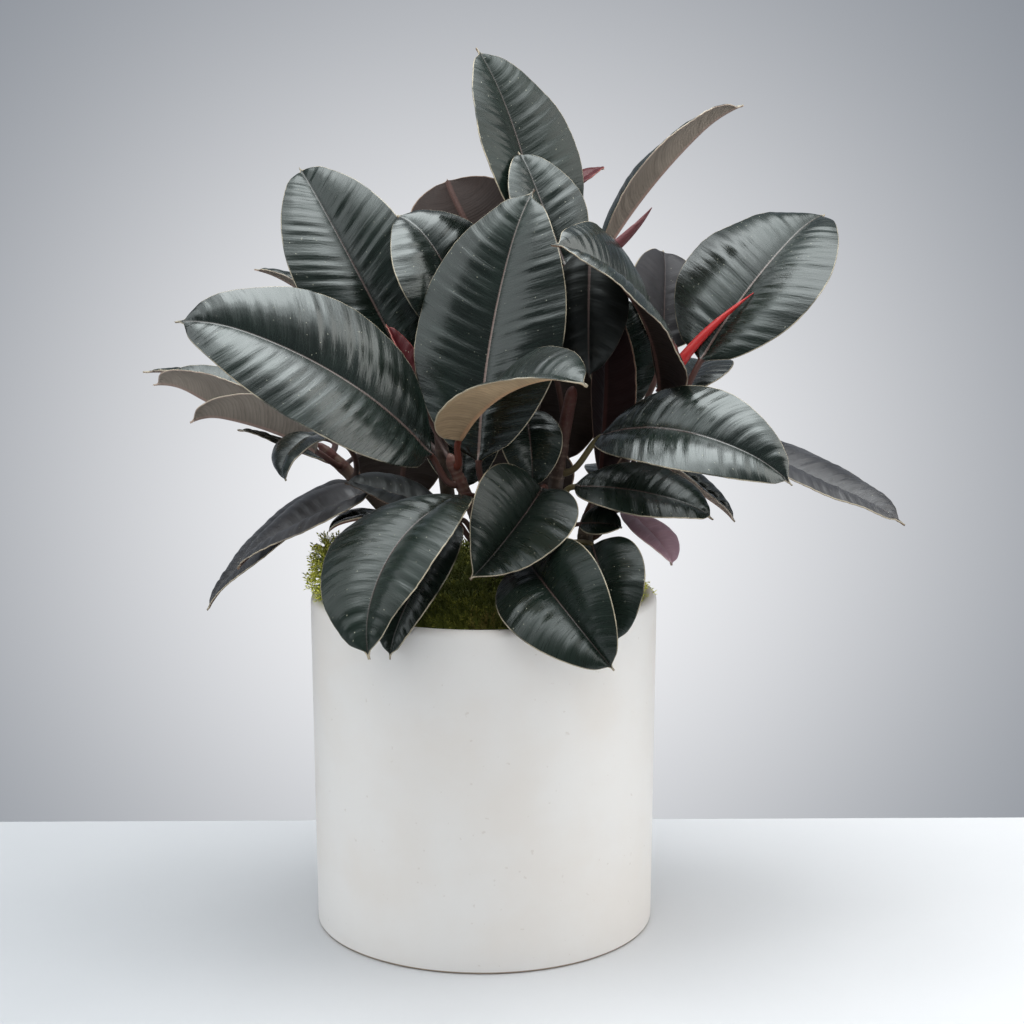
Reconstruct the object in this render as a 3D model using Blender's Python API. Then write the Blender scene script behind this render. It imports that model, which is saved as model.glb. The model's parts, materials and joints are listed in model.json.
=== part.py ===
"""Potted rubber plant: a white ceramic cylinder pot, soil, moss and six leafy stems.

Metres, +Z up, the pot standing on Z = 0 and centred on the Z axis. Every piece is one closed
solid in an object of its own: the pot, the soil, the moss, each stem, each leaf with its stalk
and each rolled sheath. Leaf and stem places are written in millimetres in the two tables.
"""
import math
from dataclasses import dataclass

import bmesh
import bpy
from mathutils import Matrix, Quaternion, Vector

MM = 0.001
GAP = 0.3

POT_RADIUS = 110.0
POT_BASE_RADIUS = 108.4
POT_HEIGHT = 214.0
POT_WALL = 9.0
POT_FLOOR = 11.0
POT_RIM_ROUND = 4.5
POT_FOOT_BEVEL = 1.8
POT_CORNER = 8.0
POT_SIDES = 48

SOIL_TOP = 190.0
SOIL_CLEARANCE = 0.3
ROOT_DEPTH = 70.0
HOLE_OVERRUN = 12.0

MOSS_SIDES = 36
MOSS_CLEARANCE = 0.5
MOSS_EDGE = 207.0
MOSS_DOME = 20.0
MOSS_MOUNDS = ((33.0, 176.0, 36.0), (13.0, 26.0, 28.0), (14.0, 90.0, 60.0))
MOSS_LAPS = ((4.5, 176.0, 34.0), (1.0, 30.0, 20.0))
MOSS_LAP_START = 0.4
MOSS_LIP = 6.0
MOSS_LIP_RISE = 0.8
MOSS_EDGE_INSET = 1.5
MOSS_LUMP = 2.2
MOSS_SHARES = (0.86, 0.68, 0.5, 0.32, 0.15)

STEM_SIDES = 8
HOLE_SIDES = 12
STEM_CLEARANCE = 0.1

STALK_RADIUS = 2.2
BLADE_THICKNESS = 0.9
BLADE_LEAST_HALF = 0.8
OUTLINE_SKEW = 0.92
OUTLINE_FULLNESS = 0.66
DRIP_TIP_START = 0.965
DRIP_TIP_SHARE = 0.10
HOOK_START = 0.72
TWIST_PIVOT = 0.3
RING_POINTS = 10
STALK_SHARES = (0.28, 0.64, 1.0)
STALK_FLARE = 0.25
BLADE_STATIONS = (0.0, 0.025, 0.08, 0.17, 0.29, 0.42, 0.55, 0.68, 0.79, 0.88, 0.95, 1.0)
CURVE_STEPS = 96
SHEATH_GIRTHS = ((0.0, 0.85), (0.12, 1.0), (0.35, 0.95), (0.6, 0.7), (0.82, 0.4), (1.0, 0.14))


@dataclass(frozen=True)
class Stem:
    """A woody stem: its centre line in mm, from the root end up, and its end radii."""

    name: str
    points: tuple
    root_radius: float
    top_radius: float


@dataclass(frozen=True)
class Leaf:
    """A leaf on its stalk. Lengths are in mm and angles in degrees.

    node is the height on the stem where the stalk starts, base and tip are the ends of the
    blade. roll turns the face about the midrib, bow arches the blade, fold raises both halves,
    curl lowers their margins, hook bends the tip down, twist turns it and sweep bends it aside.
    """

    name: str
    stem: str
    node: float
    base: tuple
    tip: tuple
    width: float
    roll: float = 0.0
    bow: float = 20.0
    fold: float = 18.0
    curl: float = 12.0
    hook: float = 15.0
    twist: float = 0.0
    sweep: float = 0.0
    finish: str = "leaf"


@dataclass(frozen=True)
class Sheath:
    """A rolled red sheath on a stem's end, drawn towards middle and ending at tip, in mm."""

    name: str
    stem: str
    middle: tuple
    tip: tuple
    radius: float


STEMS = (
    Stem("stem_a", ((5, -27, 120), (5, -27, 240), (-2, -29, 262), (-11, -31, 282),
                    (-17, -32, 297), (-21, -33, 308)), 4.8, 3.4),
    Stem("stem_b", ((38, -5, 120), (38, -5, 238), (41, -5, 258), (45, -5, 282),
                    (50, -5, 315), (56, -5, 346)), 5.6, 3.8),
    Stem("stem_c", ((15, 32, 120), (15, 32, 240), (22, 32, 290), (36, 31, 345),
                    (50, 30, 385), (60, 30, 412)), 5.6, 3.6),
    Stem("stem_d", ((-42, 12, 120), (-42, 12, 238), (-61, 12, 262), (-84, 12, 287),
                    (-105, 11, 308)), 4.8, 3.2),
    Stem("stem_e", ((66, 28, 120), (66, 28, 240), (78, 28, 268), (96, 28, 305),
                    (113, 29, 337)), 5.2, 3.4),
    Stem("stem_f", ((-22, 48, 120), (-22, 48, 240), (-26, 42, 290), (-32, 34, 345)), 5.2, 3.4),
)

LEAVES = (
    Leaf("leaf_a1", "stem_a", 268, (-3, -32, 302), (32, 22, 467), 100, roll=10, bow=10, fold=10,
         sweep=15),
    Leaf("leaf_a2", "stem_a", 290, (-32, -36, 307), (-183, -62, 392), 95, roll=-48, bow=64,
         fold=10, hook=18, twist=-14, sweep=3),
    Leaf("leaf_a3", "stem_a", 300, (-15, -46, 318), (60, -114, 360), 86, roll=16, bow=55, fold=20,
         curl=6, twist=-8),
    Leaf("leaf_a4", "stem_a", 258, (-12, -66, 287), (-65, -159, 210), 88, roll=10, bow=59,
         fold=17, curl=18, twist=-4, sweep=-24),
    Leaf("leaf_a5", "stem_a", 246, (-16, -50, 268), (-56, -104, 196), 46, roll=0, bow=30),
    Leaf("leaf_a6", "stem_a", 248, (-27, -22, 272), (-86, -27, 289), 52, roll=-14, bow=0, fold=12,
         twist=6),
    Leaf("leaf_a7", "stem_a", 304, (-40, -4, 338), (-61, 14, 383), 22, fold=50, bow=-10, hook=0,
         finish="young"),
    Leaf("leaf_b1", "stem_b", 292, (73, -13, 315), (183, -87, 297), 71, roll=35, bow=70, fold=14,
         twist=8),
    Leaf("leaf_b2", "stem_b", 262, (56, -16, 284), (142, -36, 267), 68, roll=18, bow=30, fold=10),
    Leaf("leaf_b3", "stem_b", 262, (36, -33, 286), (-8, -101, 244), 80, roll=-34, bow=28, fold=42,
         curl=6, hook=-20, twist=-12, sweep=13),
    Leaf("leaf_b4", "stem_b", 246, (27, -64, 246), (75, -140, 198), 69, roll=45, bow=64, fold=26),
    Leaf("leaf_b5", "stem_b", 248, (67, -40, 251), (79, -96, 203), 56, roll=14, bow=65, fold=30,
         twist=-12),
    Leaf("leaf_b6", "stem_b", 254, (60, -24, 262), (86, -30, 261), 28, roll=30, bow=20),
    Leaf("leaf_b7", "stem_b", 306, (26, -4, 331), (30, -32, 286), 40, bow=60),
    Leaf("leaf_c1", "stem_c", 398, (38, 46, 419), (-4, 112, 556), 83, roll=8, bow=12, fold=20,
         hook=5, twist=-10, sweep=-18),
    Leaf("leaf_c2", "stem_c", 392, (52, 20, 418), (23, 64, 489), 54, roll=-8, bow=4, fold=22),
    Leaf("leaf_c3", "stem_c", 388, (77, 52, 424), (167, 62, 519), 70, roll=-7, bow=20, fold=26,
         curl=6),
    Leaf("leaf_c4", "stem_c", 404, (56, 94, 462), (81, 118, 477), 20, bow=20),
    Leaf("leaf_c5", "stem_c", 366, (14, 76, 398), (-24, 134, 469), 76, roll=143, bow=-105, fold=0,
         twist=8, sweep=-12),
    Leaf("leaf_c6", "stem_c", 404, (67, 8, 432), (66, -10, 352), 50, roll=6, bow=34, fold=2,
         curl=18),
    Leaf("leaf_c7", "stem_c", 330, (46, 76, 350), (56, 114, 278), 62, bow=40),
    Leaf("leaf_c8", "stem_c", 280, (20, 78, 298), (32, 130, 226), 70, bow=40),
    Leaf("leaf_d1", "stem_d", 300, (-104, 46, 306), (-217, 70, 338), 74, roll=0, bow=-25,
         fold=50, hook=38, sweep=20),
    Leaf("leaf_d2", "stem_d", 292, (-92, 100, 306), (-232, 124, 340), 34, bow=10),
    Leaf("leaf_d3", "stem_d", 294, (-104, -2, 304), (-183, -8, 324), 66, roll=12, bow=25,
         fold=38, hook=28, sweep=9),
    Leaf("leaf_d4", "stem_d", 284, (-98, 26, 293), (-157, 22, 315), 24, bow=5, fold=5),
    Leaf("leaf_d5", "stem_d", 286, (-96, -44, 320), (-119, -62, 296), 52, roll=6, bow=100, fold=8,
         hook=30, twist=24, sweep=-6),
    Leaf("leaf_d6", "stem_d", 258, (-70, -14, 282), (-155, -14, 232), 66, roll=-12, bow=12,
         fold=14, twist=14),
    Leaf("leaf_d7", "stem_d", 258, (-85, 28, 281), (-179, 18, 198), 58, roll=-10, bow=10,
         fold=14, twist=10),
    Leaf("leaf_d8", "stem_d", 250, (-60, -16, 264), (-97, -20, 257), 32, bow=40),
    Leaf("leaf_e1", "stem_e", 326, (113, 22, 337), (40, -72, 438), 98, roll=-45, bow=50, fold=16,
         curl=12, sweep=-8),
    Leaf("leaf_e2", "stem_e", 318, (139, 32, 357), (228, 106, 447), 100, roll=20, bow=32, fold=12,
         twist=-8),
    Leaf("leaf_e3", "stem_e", 312, (117, 60, 360), (122, 126, 422), 62, roll=24, bow=5, fold=28),
    Leaf("leaf_e4", "stem_e", 300, (126, 62, 330), (154, 134, 344), 60, roll=0, bow=20),
    Leaf("leaf_e5", "stem_e", 300, (130, 18, 326), (260, -40, 264), 68, roll=0, bow=-10, fold=12,
         twist=14),
    Leaf("leaf_e6", "stem_e", 284, (106, 18, 302), (160, 3, 258), 36, roll=-2, bow=-10, fold=27),
    Leaf("leaf_e7", "stem_e", 268, (100, 50, 284), (134, 44, 289), 30, roll=60, bow=30),
    Leaf("leaf_e8", "stem_e", 256, (75, 20, 284), (72, 6, 410), 56, roll=-50, bow=10),
    Leaf("leaf_e9", "stem_e", 244, (90, 20, 262), (120, -2, 231), 60, roll=-12, bow=25, fold=10,
         finish="young"),
    Leaf("leaf_e10", "stem_e", 286, (91, 64, 320), (91, 76, 396), 46, bow=20),
    Leaf("leaf_e11", "stem_e", 250, (90, 66, 266), (108, 160, 258), 60, bow=30),
    Leaf("leaf_f1", "stem_f", 330, (-48, 34, 350), (-121, 100, 478), 82, roll=-44, bow=38,
         fold=18),
    Leaf("leaf_f2", "stem_f", 334, (-15, 47, 374), (-55, 53, 449), 85, roll=-38, bow=80, fold=9,
         twist=-8),
    Leaf("leaf_f3", "stem_f", 322, (-66, 56, 368), (-150, 80, 413), 44, roll=4, bow=5, fold=24),
    Leaf("leaf_f4", "stem_f", 296, (-48, 76, 306), (-58, 130, 236), 66, bow=40),
    Leaf("leaf_f5", "stem_f", 252, (-15, 68, 268), (-7, 98, 350), 58, bow=20),
)

SHEATHS = (
    Sheath("sheath_c", "stem_c", (90, 18, 434), (105, 8, 456), 4.2),
    Sheath("sheath_e", "stem_e", (132, 30, 372), (174, 45, 400), 3.8),
)

FINISHES = {
    "ceramic": ((0.80, 0.77, 0.74), 0.55),
    "soil": ((0.035, 0.022, 0.014), 0.95),
    "moss": ((0.12, 0.15, 0.02), 0.90),
    "bark": ((0.12, 0.06, 0.035), 0.60),
    "leaf": ((0.012, 0.020, 0.016), 0.28),
    "young": ((0.09, 0.02, 0.03), 0.35),
    "sheath": ((0.55, 0.02, 0.02), 0.40),
}


def clear_scene():
    """Remove every object that the scene starts with."""
    for item in list(bpy.data.objects):
        bpy.data.objects.remove(item, do_unlink=True)


def make_finish(name):
    """Return the named finish as a Principled BSDF material."""
    material = bpy.data.materials.get(name)
    if material is None:
        color, roughness = FINISHES[name]
        material = bpy.data.materials.new(name)
        material.use_nodes = True
        shader = material.node_tree.nodes["Principled BSDF"]
        shader.inputs["Base Color"].default_value = (*color, 1.0)
        shader.inputs["Roughness"].default_value = roughness
        shader.inputs["Metallic"].default_value = 0.0
    return material


def make_object(name, points, faces, finish):
    """Make an object from points in mm, split into triangles, with outward faces."""
    mesh = bpy.data.meshes.new(name)
    mesh.from_pydata([Vector(p) * MM for p in points], [], faces)
    shape = bmesh.new()
    shape.from_mesh(mesh)
    bmesh.ops.recalc_face_normals(shape, faces=shape.faces)
    if shape.calc_volume(signed=True) < 0.0:
        bmesh.ops.reverse_faces(shape, faces=shape.faces)
    shape.to_mesh(mesh)
    shape.free()
    mesh.materials.append(make_finish(finish))
    mesh.shade_smooth()
    mesh.set_sharp_from_angle(angle=math.radians(40))
    item = bpy.data.objects.new(name, mesh)
    bpy.context.scene.collection.objects.link(item)
    return item


def loft(rings):
    """Join rings of equal point counts into a closed skin of triangles, with capped ends."""
    count = len(rings[0])
    points = [p for ring in rings for p in ring]
    faces = []
    for i in range(len(rings) - 1):
        low, high = i * count, (i + 1) * count
        for j in range(count):
            k = (j + 1) % count
            faces.append((low + j, low + k, high + k))
            faces.append((low + j, high + k, high + j))
    for start in (0, len(points) - count):
        faces += [(start, start + j, start + j + 1) for j in range(1, count - 1)]
    return points, faces


def turned(profile, sides):
    """Turn a closed profile of (radius, height) points, the first and last on the axis."""
    points = [(0.0, 0.0, profile[0][1])]
    for radius, height in profile[1:-1]:
        for j in range(sides):
            angle = 2 * math.pi * j / sides
            points.append((radius * math.cos(angle), radius * math.sin(angle), height))
    points.append((0.0, 0.0, profile[-1][1]))
    rows = len(profile) - 2
    faces = []
    for j in range(sides):
        k = (j + 1) % sides
        faces.append((0, 1 + k, 1 + j))
        for i in range(rows - 1):
            low, high = 1 + i * sides, 1 + (i + 1) * sides
            faces.append((low + j, low + k, high + k, high + j))
        last = 1 + (rows - 1) * sides
        faces.append((last + j, last + k, len(points) - 1))
    return points, faces


def arc(center, radius, start, end, steps):
    """Return the (radius, height) points of an arc, its angles in degrees."""
    points = []
    for i in range(steps + 1):
        angle = math.radians(start + (end - start) * i / steps)
        points.append((center[0] + radius * math.cos(angle), center[1] + radius * math.sin(angle)))
    return points


def inner_radius():
    """Return the radius of the pot's cavity."""
    return POT_RADIUS - POT_WALL


def build_pot():
    """The pot: a thick ceramic cylinder with a rounded rim and a flat base."""
    inside = inner_radius()
    rim_height = POT_HEIGHT - POT_RIM_ROUND
    profile = [(0.0, 0.0), (POT_BASE_RADIUS - POT_FOOT_BEVEL, 0.0),
               (POT_BASE_RADIUS, POT_FOOT_BEVEL)]
    profile += arc((POT_RADIUS - POT_RIM_ROUND, rim_height), POT_RIM_ROUND, 0, 180, 6)
    profile += arc((inside - POT_CORNER, POT_FLOOR + POT_CORNER), POT_CORNER, 0, -90, 2)
    profile += [(0.0, POT_FLOOR)]
    return make_object("pot", *turned(profile, POT_SIDES), "ceramic")


def cut_stem_holes(item, low, high):
    """Cut a plain round hole for every stem through the height given in mm."""
    for stem in STEMS:
        radius = (stem.root_radius + GAP + STEM_CLEARANCE) / math.cos(math.pi / HOLE_SIDES)
        x, y, _ = stem.points[0]
        profile = [(0.0, low), (radius, low), (radius, high), (0.0, high)]
        cutter = make_object("cutter", *turned(profile, HOLE_SIDES), "soil")
        cutter.data.transform(Matrix.Translation((x * MM, y * MM, 0.0)))
        cut = item.modifiers.new("hole", "BOOLEAN")
        cut.operation = "DIFFERENCE"
        cut.solver = "EXACT"
        cut.object = cutter
        depsgraph = bpy.context.evaluated_depsgraph_get()
        mesh = bpy.data.meshes.new_from_object(item.evaluated_get(depsgraph))
        item.modifiers.clear()
        item.data = mesh
        bpy.data.objects.remove(cutter, do_unlink=True)


def build_soil():
    """The soil: it fills the pot up to SOIL_TOP, with a hole for each stem's root end."""
    radius = inner_radius() * math.cos(math.pi / POT_SIDES) - SOIL_CLEARANCE
    bottom = POT_FLOOR + SOIL_CLEARANCE
    profile = [(0.0, bottom), (radius - POT_CORNER, bottom), (radius, bottom + POT_CORNER),
               (radius, SOIL_TOP), (0.0, SOIL_TOP)]
    soil = make_object("soil", *turned(profile, POT_SIDES), "soil")
    cut_stem_holes(soil, SOIL_TOP - ROOT_DEPTH - GAP, SOIL_TOP + HOLE_OVERRUN)
    return soil


def bump(angle, center, spread):
    """Return a smooth bump from 0 to 1 about the direction center, all in degrees."""
    offset = (angle - center + 180.0) % 360.0 - 180.0
    return math.exp(-((offset / spread) ** 2))


def moss_height(radius, angle):
    """Return the height of the moss cushion at a radius in mm and an angle in degrees."""
    share = radius / inner_radius()
    height = MOSS_EDGE + MOSS_DOME * (1.0 - share ** 2)
    height += share ** 2 * sum(rise * bump(angle, way, spread) for rise, way, spread in MOSS_MOUNDS)
    turn = math.radians(angle)
    lumps = math.sin(5 * turn + radius * 0.09) * math.cos(radius * 0.13 + 1.3 * turn)
    return height + MOSS_LUMP * lumps * min(1.0, 2.0 * share)


def moss_overhang(angle):
    """Return how far the moss reaches over the rim at an angle in degrees."""
    reach = 0.0
    for most, way, spread in MOSS_LAPS:
        share = (bump(angle, way, spread) - MOSS_LAP_START) / (1.0 - MOSS_LAP_START)
        reach += most * max(0.0, share)
    return reach


def build_moss():
    """The moss: a lumpy cushion on the soil that swells over the rim at two sides."""
    side = inner_radius() * math.cos(math.pi / POT_SIDES) - MOSS_CLEARANCE
    bottom = SOIL_TOP + GAP
    rim_top = POT_HEIGHT + GAP
    rows = ([], [], [], [])
    inner_rows = {share: [] for share in MOSS_SHARES}
    for j in range(MOSS_SIDES):
        angle = 360.0 * j / MOSS_SIDES
        turn = Vector((math.cos(math.radians(angle)), math.sin(math.radians(angle)), 0.0))
        edge = moss_height(side, angle)
        over = moss_overhang(angle)
        shoulder = min(edge - MOSS_LIP, rim_top)
        rows[0].append(turn * side + Vector((0, 0, bottom)))
        rows[1].append(turn * side + Vector((0, 0, shoulder)))
        rows[2].append(turn * (side + over) + Vector((0, 0, shoulder + MOSS_LIP_RISE)))
        rows[3].append(turn * (side + 0.7 * over - MOSS_EDGE_INSET) + Vector((0, 0, edge)))
        for share, row in inner_rows.items():
            row.append(turn * (side * share) + Vector((0, 0, moss_height(side * share, angle))))
    rings = [*rows, *inner_rows.values()]
    points = [Vector((0, 0, bottom))] + [p for ring in rings for p in ring]
    points.append(Vector((0, 0, moss_height(0.0, 0.0))))
    faces = []
    for j in range(MOSS_SIDES):
        k = (j + 1) % MOSS_SIDES
        faces.append((0, 1 + k, 1 + j))
        for i in range(len(rings) - 1):
            low, high = 1 + i * MOSS_SIDES, 1 + (i + 1) * MOSS_SIDES
            faces.append((low + j, low + k, high + k))
            faces.append((low + j, high + k, high + j))
        last = 1 + (len(rings) - 1) * MOSS_SIDES
        faces.append((last + j, last + k, len(points) - 1))
    moss = make_object("moss", points, faces, "moss")
    cut_stem_holes(moss, SOIL_TOP - HOLE_OVERRUN, MOSS_EDGE + 2.0 * MOSS_DOME + HOLE_OVERRUN)
    return moss


def stem_radius(stem, height):
    """Return a stem's radius at a height: full to the soil, then tapering to its top."""
    foot, top = stem.points[1][2], stem.points[-1][2]
    share = min(1.0, max(0.0, (height - foot) / (top - foot)))
    return stem.root_radius + (stem.top_radius - stem.root_radius) * share


def stem_at(stem, height):
    """Return a stem's centre point and direction at a height in mm."""
    for low, high in zip(stem.points, stem.points[1:]):
        if height <= high[2] or high is stem.points[-1]:
            start, end = Vector(low), Vector(high)
            share = (height - low[2]) / (high[2] - low[2])
            return start.lerp(end, share), (end - start).normalized()
    raise ValueError(stem.name)


def circle(center, normal, radius, sides):
    """Return a ring of points about a centre, square to the normal."""
    side = normal.cross(Vector((0, 1, 0))).normalized()
    up = side.cross(normal)
    ring = []
    for j in range(sides):
        angle = 2 * math.pi * (j + 0.5) / sides
        ring.append(center + radius * (math.cos(angle) * side + math.sin(angle) * up))
    return ring


def build_stem(stem):
    """A stem: a tapering round rod along its centre line."""
    points = [Vector(p) for p in stem.points]
    rings = []
    for i, point in enumerate(points):
        before = points[max(0, i - 1)]
        after = points[min(len(points) - 1, i + 1)]
        radius = stem_radius(stem, point.z)
        rings.append(circle(point, (after - before).normalized(), radius, STEM_SIDES))
    rings[1] = circle(points[1], Vector((0, 0, 1)), stem.root_radius, STEM_SIDES)
    return make_object(stem.name, *loft(rings), "bark")


def smooth_step(value):
    """Return 0 below 0, 1 above 1 and a smooth rise between."""
    value = min(1.0, max(0.0, value))
    return value * value * (3.0 - 2.0 * value)


def outline(share):
    """Return the blade's half width, as a share of its greatest, at a share of its length."""
    body = math.sin(math.pi * min(1.0, share / DRIP_TIP_START) ** OUTLINE_SKEW)
    body = max(0.0, body) ** OUTLINE_FULLNESS
    rise, fall = smooth_step((share - 0.8) / 0.12), smooth_step((share - 0.92) / 0.08)
    return math.hypot(body, DRIP_TIP_SHARE * rise * (1.0 - 0.75 * fall))


def blade_frame(leaf):
    """Return the blade's chord direction and face normal, the face turned by its roll."""
    chord = (Vector(leaf.tip) - Vector(leaf.base)).normalized()
    normal = (Vector((0, 0, 1)) - chord.z * chord).normalized()
    return chord, Quaternion(chord, math.radians(leaf.roll)) @ normal


def midrib(leaf):
    """Return points, directions and face normals along the midrib, at CURVE_STEPS + 1 steps."""
    chord, face = blade_frame(leaf)
    side = face.cross(chord)
    points, ways, faces = [Vector((0, 0, 0))], [], []
    for i in range(CURVE_STEPS + 1):
        share = i / CURVE_STEPS
        hook = leaf.hook * smooth_step((share - HOOK_START) / (1.0 - HOOK_START))
        pitch = math.radians(leaf.bow * (0.5 - share) - hook)
        yaw = math.radians(leaf.sweep * (0.5 - share))
        way = math.cos(pitch) * chord + math.sin(pitch) * face
        way = math.cos(yaw) * way + math.sin(yaw) * side
        ways.append(way)
        faces.append(math.cos(pitch) * face - math.sin(pitch) * chord)
        if i < CURVE_STEPS:
            points.append(points[-1] + way)
    span = Vector(leaf.tip) - Vector(leaf.base)
    scale = span.length / points[-1].length
    turn = points[-1].rotation_difference(span)
    base = Vector(leaf.base)
    points = [base + scale * (turn @ p) for p in points]
    ways = [(turn @ w).normalized() for w in ways]
    turned_faces = []
    for i, (way, normal) in enumerate(zip(ways, faces)):
        normal = turn @ normal
        normal = (normal - normal.dot(way) * way).normalized()
        angle = math.radians(leaf.twist * (i / CURVE_STEPS - TWIST_PIVOT))
        turned_faces.append(Quaternion(way, angle) @ normal)
    return points, ways, turned_faces


def blade_ring(leaf, share, point, way, face):
    """Return the ten points of the blade's section: five on its face, five underneath."""
    half = 0.5 * leaf.width * outline(share) + BLADE_LEAST_HALF
    side = face.cross(way)
    inner = math.radians(leaf.fold)
    outer = math.radians(leaf.fold - leaf.curl)
    rib = STALK_RADIUS * (1.0 - 0.7 * share)
    upper, lower = [], []
    for sign in (-1.0, 1.0):
        knee = point + 0.5 * half * (sign * math.cos(inner) * side + math.sin(inner) * face)
        edge = knee + 0.5 * half * (sign * math.cos(outer) * side + math.sin(outer) * face)
        for spot, angle in ((edge, outer), (knee, 0.5 * (inner + outer))):
            normal = math.cos(angle) * face - sign * math.sin(angle) * side
            upper.append(spot + 0.5 * BLADE_THICKNESS * normal)
            lower.append(spot - 0.5 * BLADE_THICKNESS * normal)
    crest = point + 0.5 * BLADE_THICKNESS * face
    keel = point - rib * face
    top = [upper[0], upper[1], crest, upper[3], upper[2]]
    bottom = [lower[2], lower[3], keel, lower[1], lower[0]]
    return top + bottom


def stalk_ring(point, way, face, radius):
    """Return the ten points of the stalk's round section, in the blade ring's order."""
    side = face.cross(way)
    ring = []
    for j in range(RING_POINTS):
        angle = math.pi * (0.9 - 2.0 * j / RING_POINTS)
        ring.append(point + radius * (math.cos(angle) * side + math.sin(angle) * face))
    return ring


def stalk_rings(leaf, way, face):
    """Return the stalk's rings, from its flat end on the stem to just before the blade."""
    stem = next(s for s in STEMS if s.name == leaf.stem)
    base = Vector(leaf.base)
    center, axis = stem_at(stem, leaf.node)
    out = base - center
    out = (out - out.dot(axis) * axis).normalized()
    start = center + out * (stem_radius(stem, leaf.node) + GAP + STEM_CLEARANCE)
    reach = (base - start).length
    corners = (base, base - 0.4 * reach * way, start + 0.35 * reach * out, start)
    rings = []
    for share in STALK_SHARES:
        a, b = 1.0 - share, share
        point = (a ** 3 * corners[0] + 3 * a * a * b * corners[1]
                 + 3 * a * b * b * corners[2] + b ** 3 * corners[3])
        slope = (a * a * (corners[0] - corners[1]) + 2 * a * b * (corners[1] - corners[2])
                 + b * b * (corners[2] - corners[3])).normalized()
        face = (way.rotation_difference(slope) @ face).normalized()
        way = slope
        rings.insert(0, stalk_ring(point, way, face, STALK_RADIUS * (1.0 + STALK_FLARE * share)))
    return rings


def build_leaf(leaf):
    """A leaf: its round stalk and its thin waved blade with a keel, in one closed skin."""
    points, ways, faces = midrib(leaf)
    rings = stalk_rings(leaf, ways[0], faces[0])
    rings.append(stalk_ring(points[0], ways[0], faces[0], STALK_RADIUS))
    for share in BLADE_STATIONS[1:]:
        i = round(share * CURVE_STEPS)
        rings.append(blade_ring(leaf, share, points[i], ways[i], faces[i]))
    return make_object(leaf.name, *loft(rings), leaf.finish)


def build_sheath(sheath):
    """A sheath: a slim rolled cone that stands on the stem's end and curves to its tip."""
    stem = next(s for s in STEMS if s.name == sheath.stem)
    top = Vector(stem.points[-1])
    way = (top - Vector(stem.points[-2])).normalized()
    foot = top + way * GAP
    middle, tip = Vector(sheath.middle), Vector(sheath.tip)
    rings = []
    for share, girth in SHEATH_GIRTHS:
        a, b = 1.0 - share, share
        point = a * a * foot + 2 * a * b * middle + b * b * tip
        slope = way if share == 0.0 else (a * (middle - foot) + b * (tip - middle)).normalized()
        rings.append(circle(point, slope, sheath.radius * girth, STEM_SIDES))
    return make_object(sheath.name, *loft(rings), "sheath")


def main():
    """Build every piece of the potted plant."""
    clear_scene()
    build_pot()
    build_soil()
    build_moss()
    for stem in STEMS:
        build_stem(stem)
    for leaf in LEAVES:
        build_leaf(leaf)
    for sheath in SHEATHS:
        build_sheath(sheath)


main()
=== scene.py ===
"""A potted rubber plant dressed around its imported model: leaves, stems, moss, pot and a studio."""

import json
import logging
import math
from dataclasses import dataclass
from enum import Enum
from typing import Callable, ClassVar, Dict, List, Optional, Sequence, Tuple, Union

import bpy
import numpy as np
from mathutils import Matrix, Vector, noise

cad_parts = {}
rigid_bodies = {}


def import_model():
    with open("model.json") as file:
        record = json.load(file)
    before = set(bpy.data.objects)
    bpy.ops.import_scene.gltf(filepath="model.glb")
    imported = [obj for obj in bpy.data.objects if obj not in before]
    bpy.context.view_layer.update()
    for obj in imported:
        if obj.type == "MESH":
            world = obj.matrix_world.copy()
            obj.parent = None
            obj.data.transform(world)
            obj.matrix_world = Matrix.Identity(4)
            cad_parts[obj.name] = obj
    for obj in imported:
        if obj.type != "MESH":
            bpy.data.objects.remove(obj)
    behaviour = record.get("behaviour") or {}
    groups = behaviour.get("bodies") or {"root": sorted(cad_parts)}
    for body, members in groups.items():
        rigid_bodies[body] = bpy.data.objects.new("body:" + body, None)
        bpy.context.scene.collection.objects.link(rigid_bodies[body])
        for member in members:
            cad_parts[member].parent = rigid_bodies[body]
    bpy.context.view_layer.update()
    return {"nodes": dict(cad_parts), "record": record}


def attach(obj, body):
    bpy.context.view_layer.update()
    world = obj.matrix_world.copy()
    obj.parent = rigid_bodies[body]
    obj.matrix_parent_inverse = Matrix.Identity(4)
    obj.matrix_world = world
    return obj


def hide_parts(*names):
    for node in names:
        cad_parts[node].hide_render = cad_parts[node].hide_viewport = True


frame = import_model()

MM = 0.001
BODY = "root"
SLOTS = {part["node"]: part["material_slot"] for part in frame["record"]["subparts"]}
EAST, NORTH, UP = np.eye(3)
LOG = logging.getLogger("rubber_plant")

Array = np.ndarray
Point = Tuple[float, float, float]
Colour = Tuple[float, float, float]
Faces = List[Tuple[int, ...]]


def math_method(operation: str, flipped: bool = False) -> Callable[["Value", "Number"], "Value"]:
    """Return the method behind an operator of Value.

    Args:
        operation: the Math node's operation.
        flipped: whether the other number comes first.

    Returns:
        The method.
    """
    def method(value: "Value", other: "Number") -> "Value":
        """Return the Math node's result."""
        return value.book.math(operation, *((other, value) if flipped else (value, other)))
    return method


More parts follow.
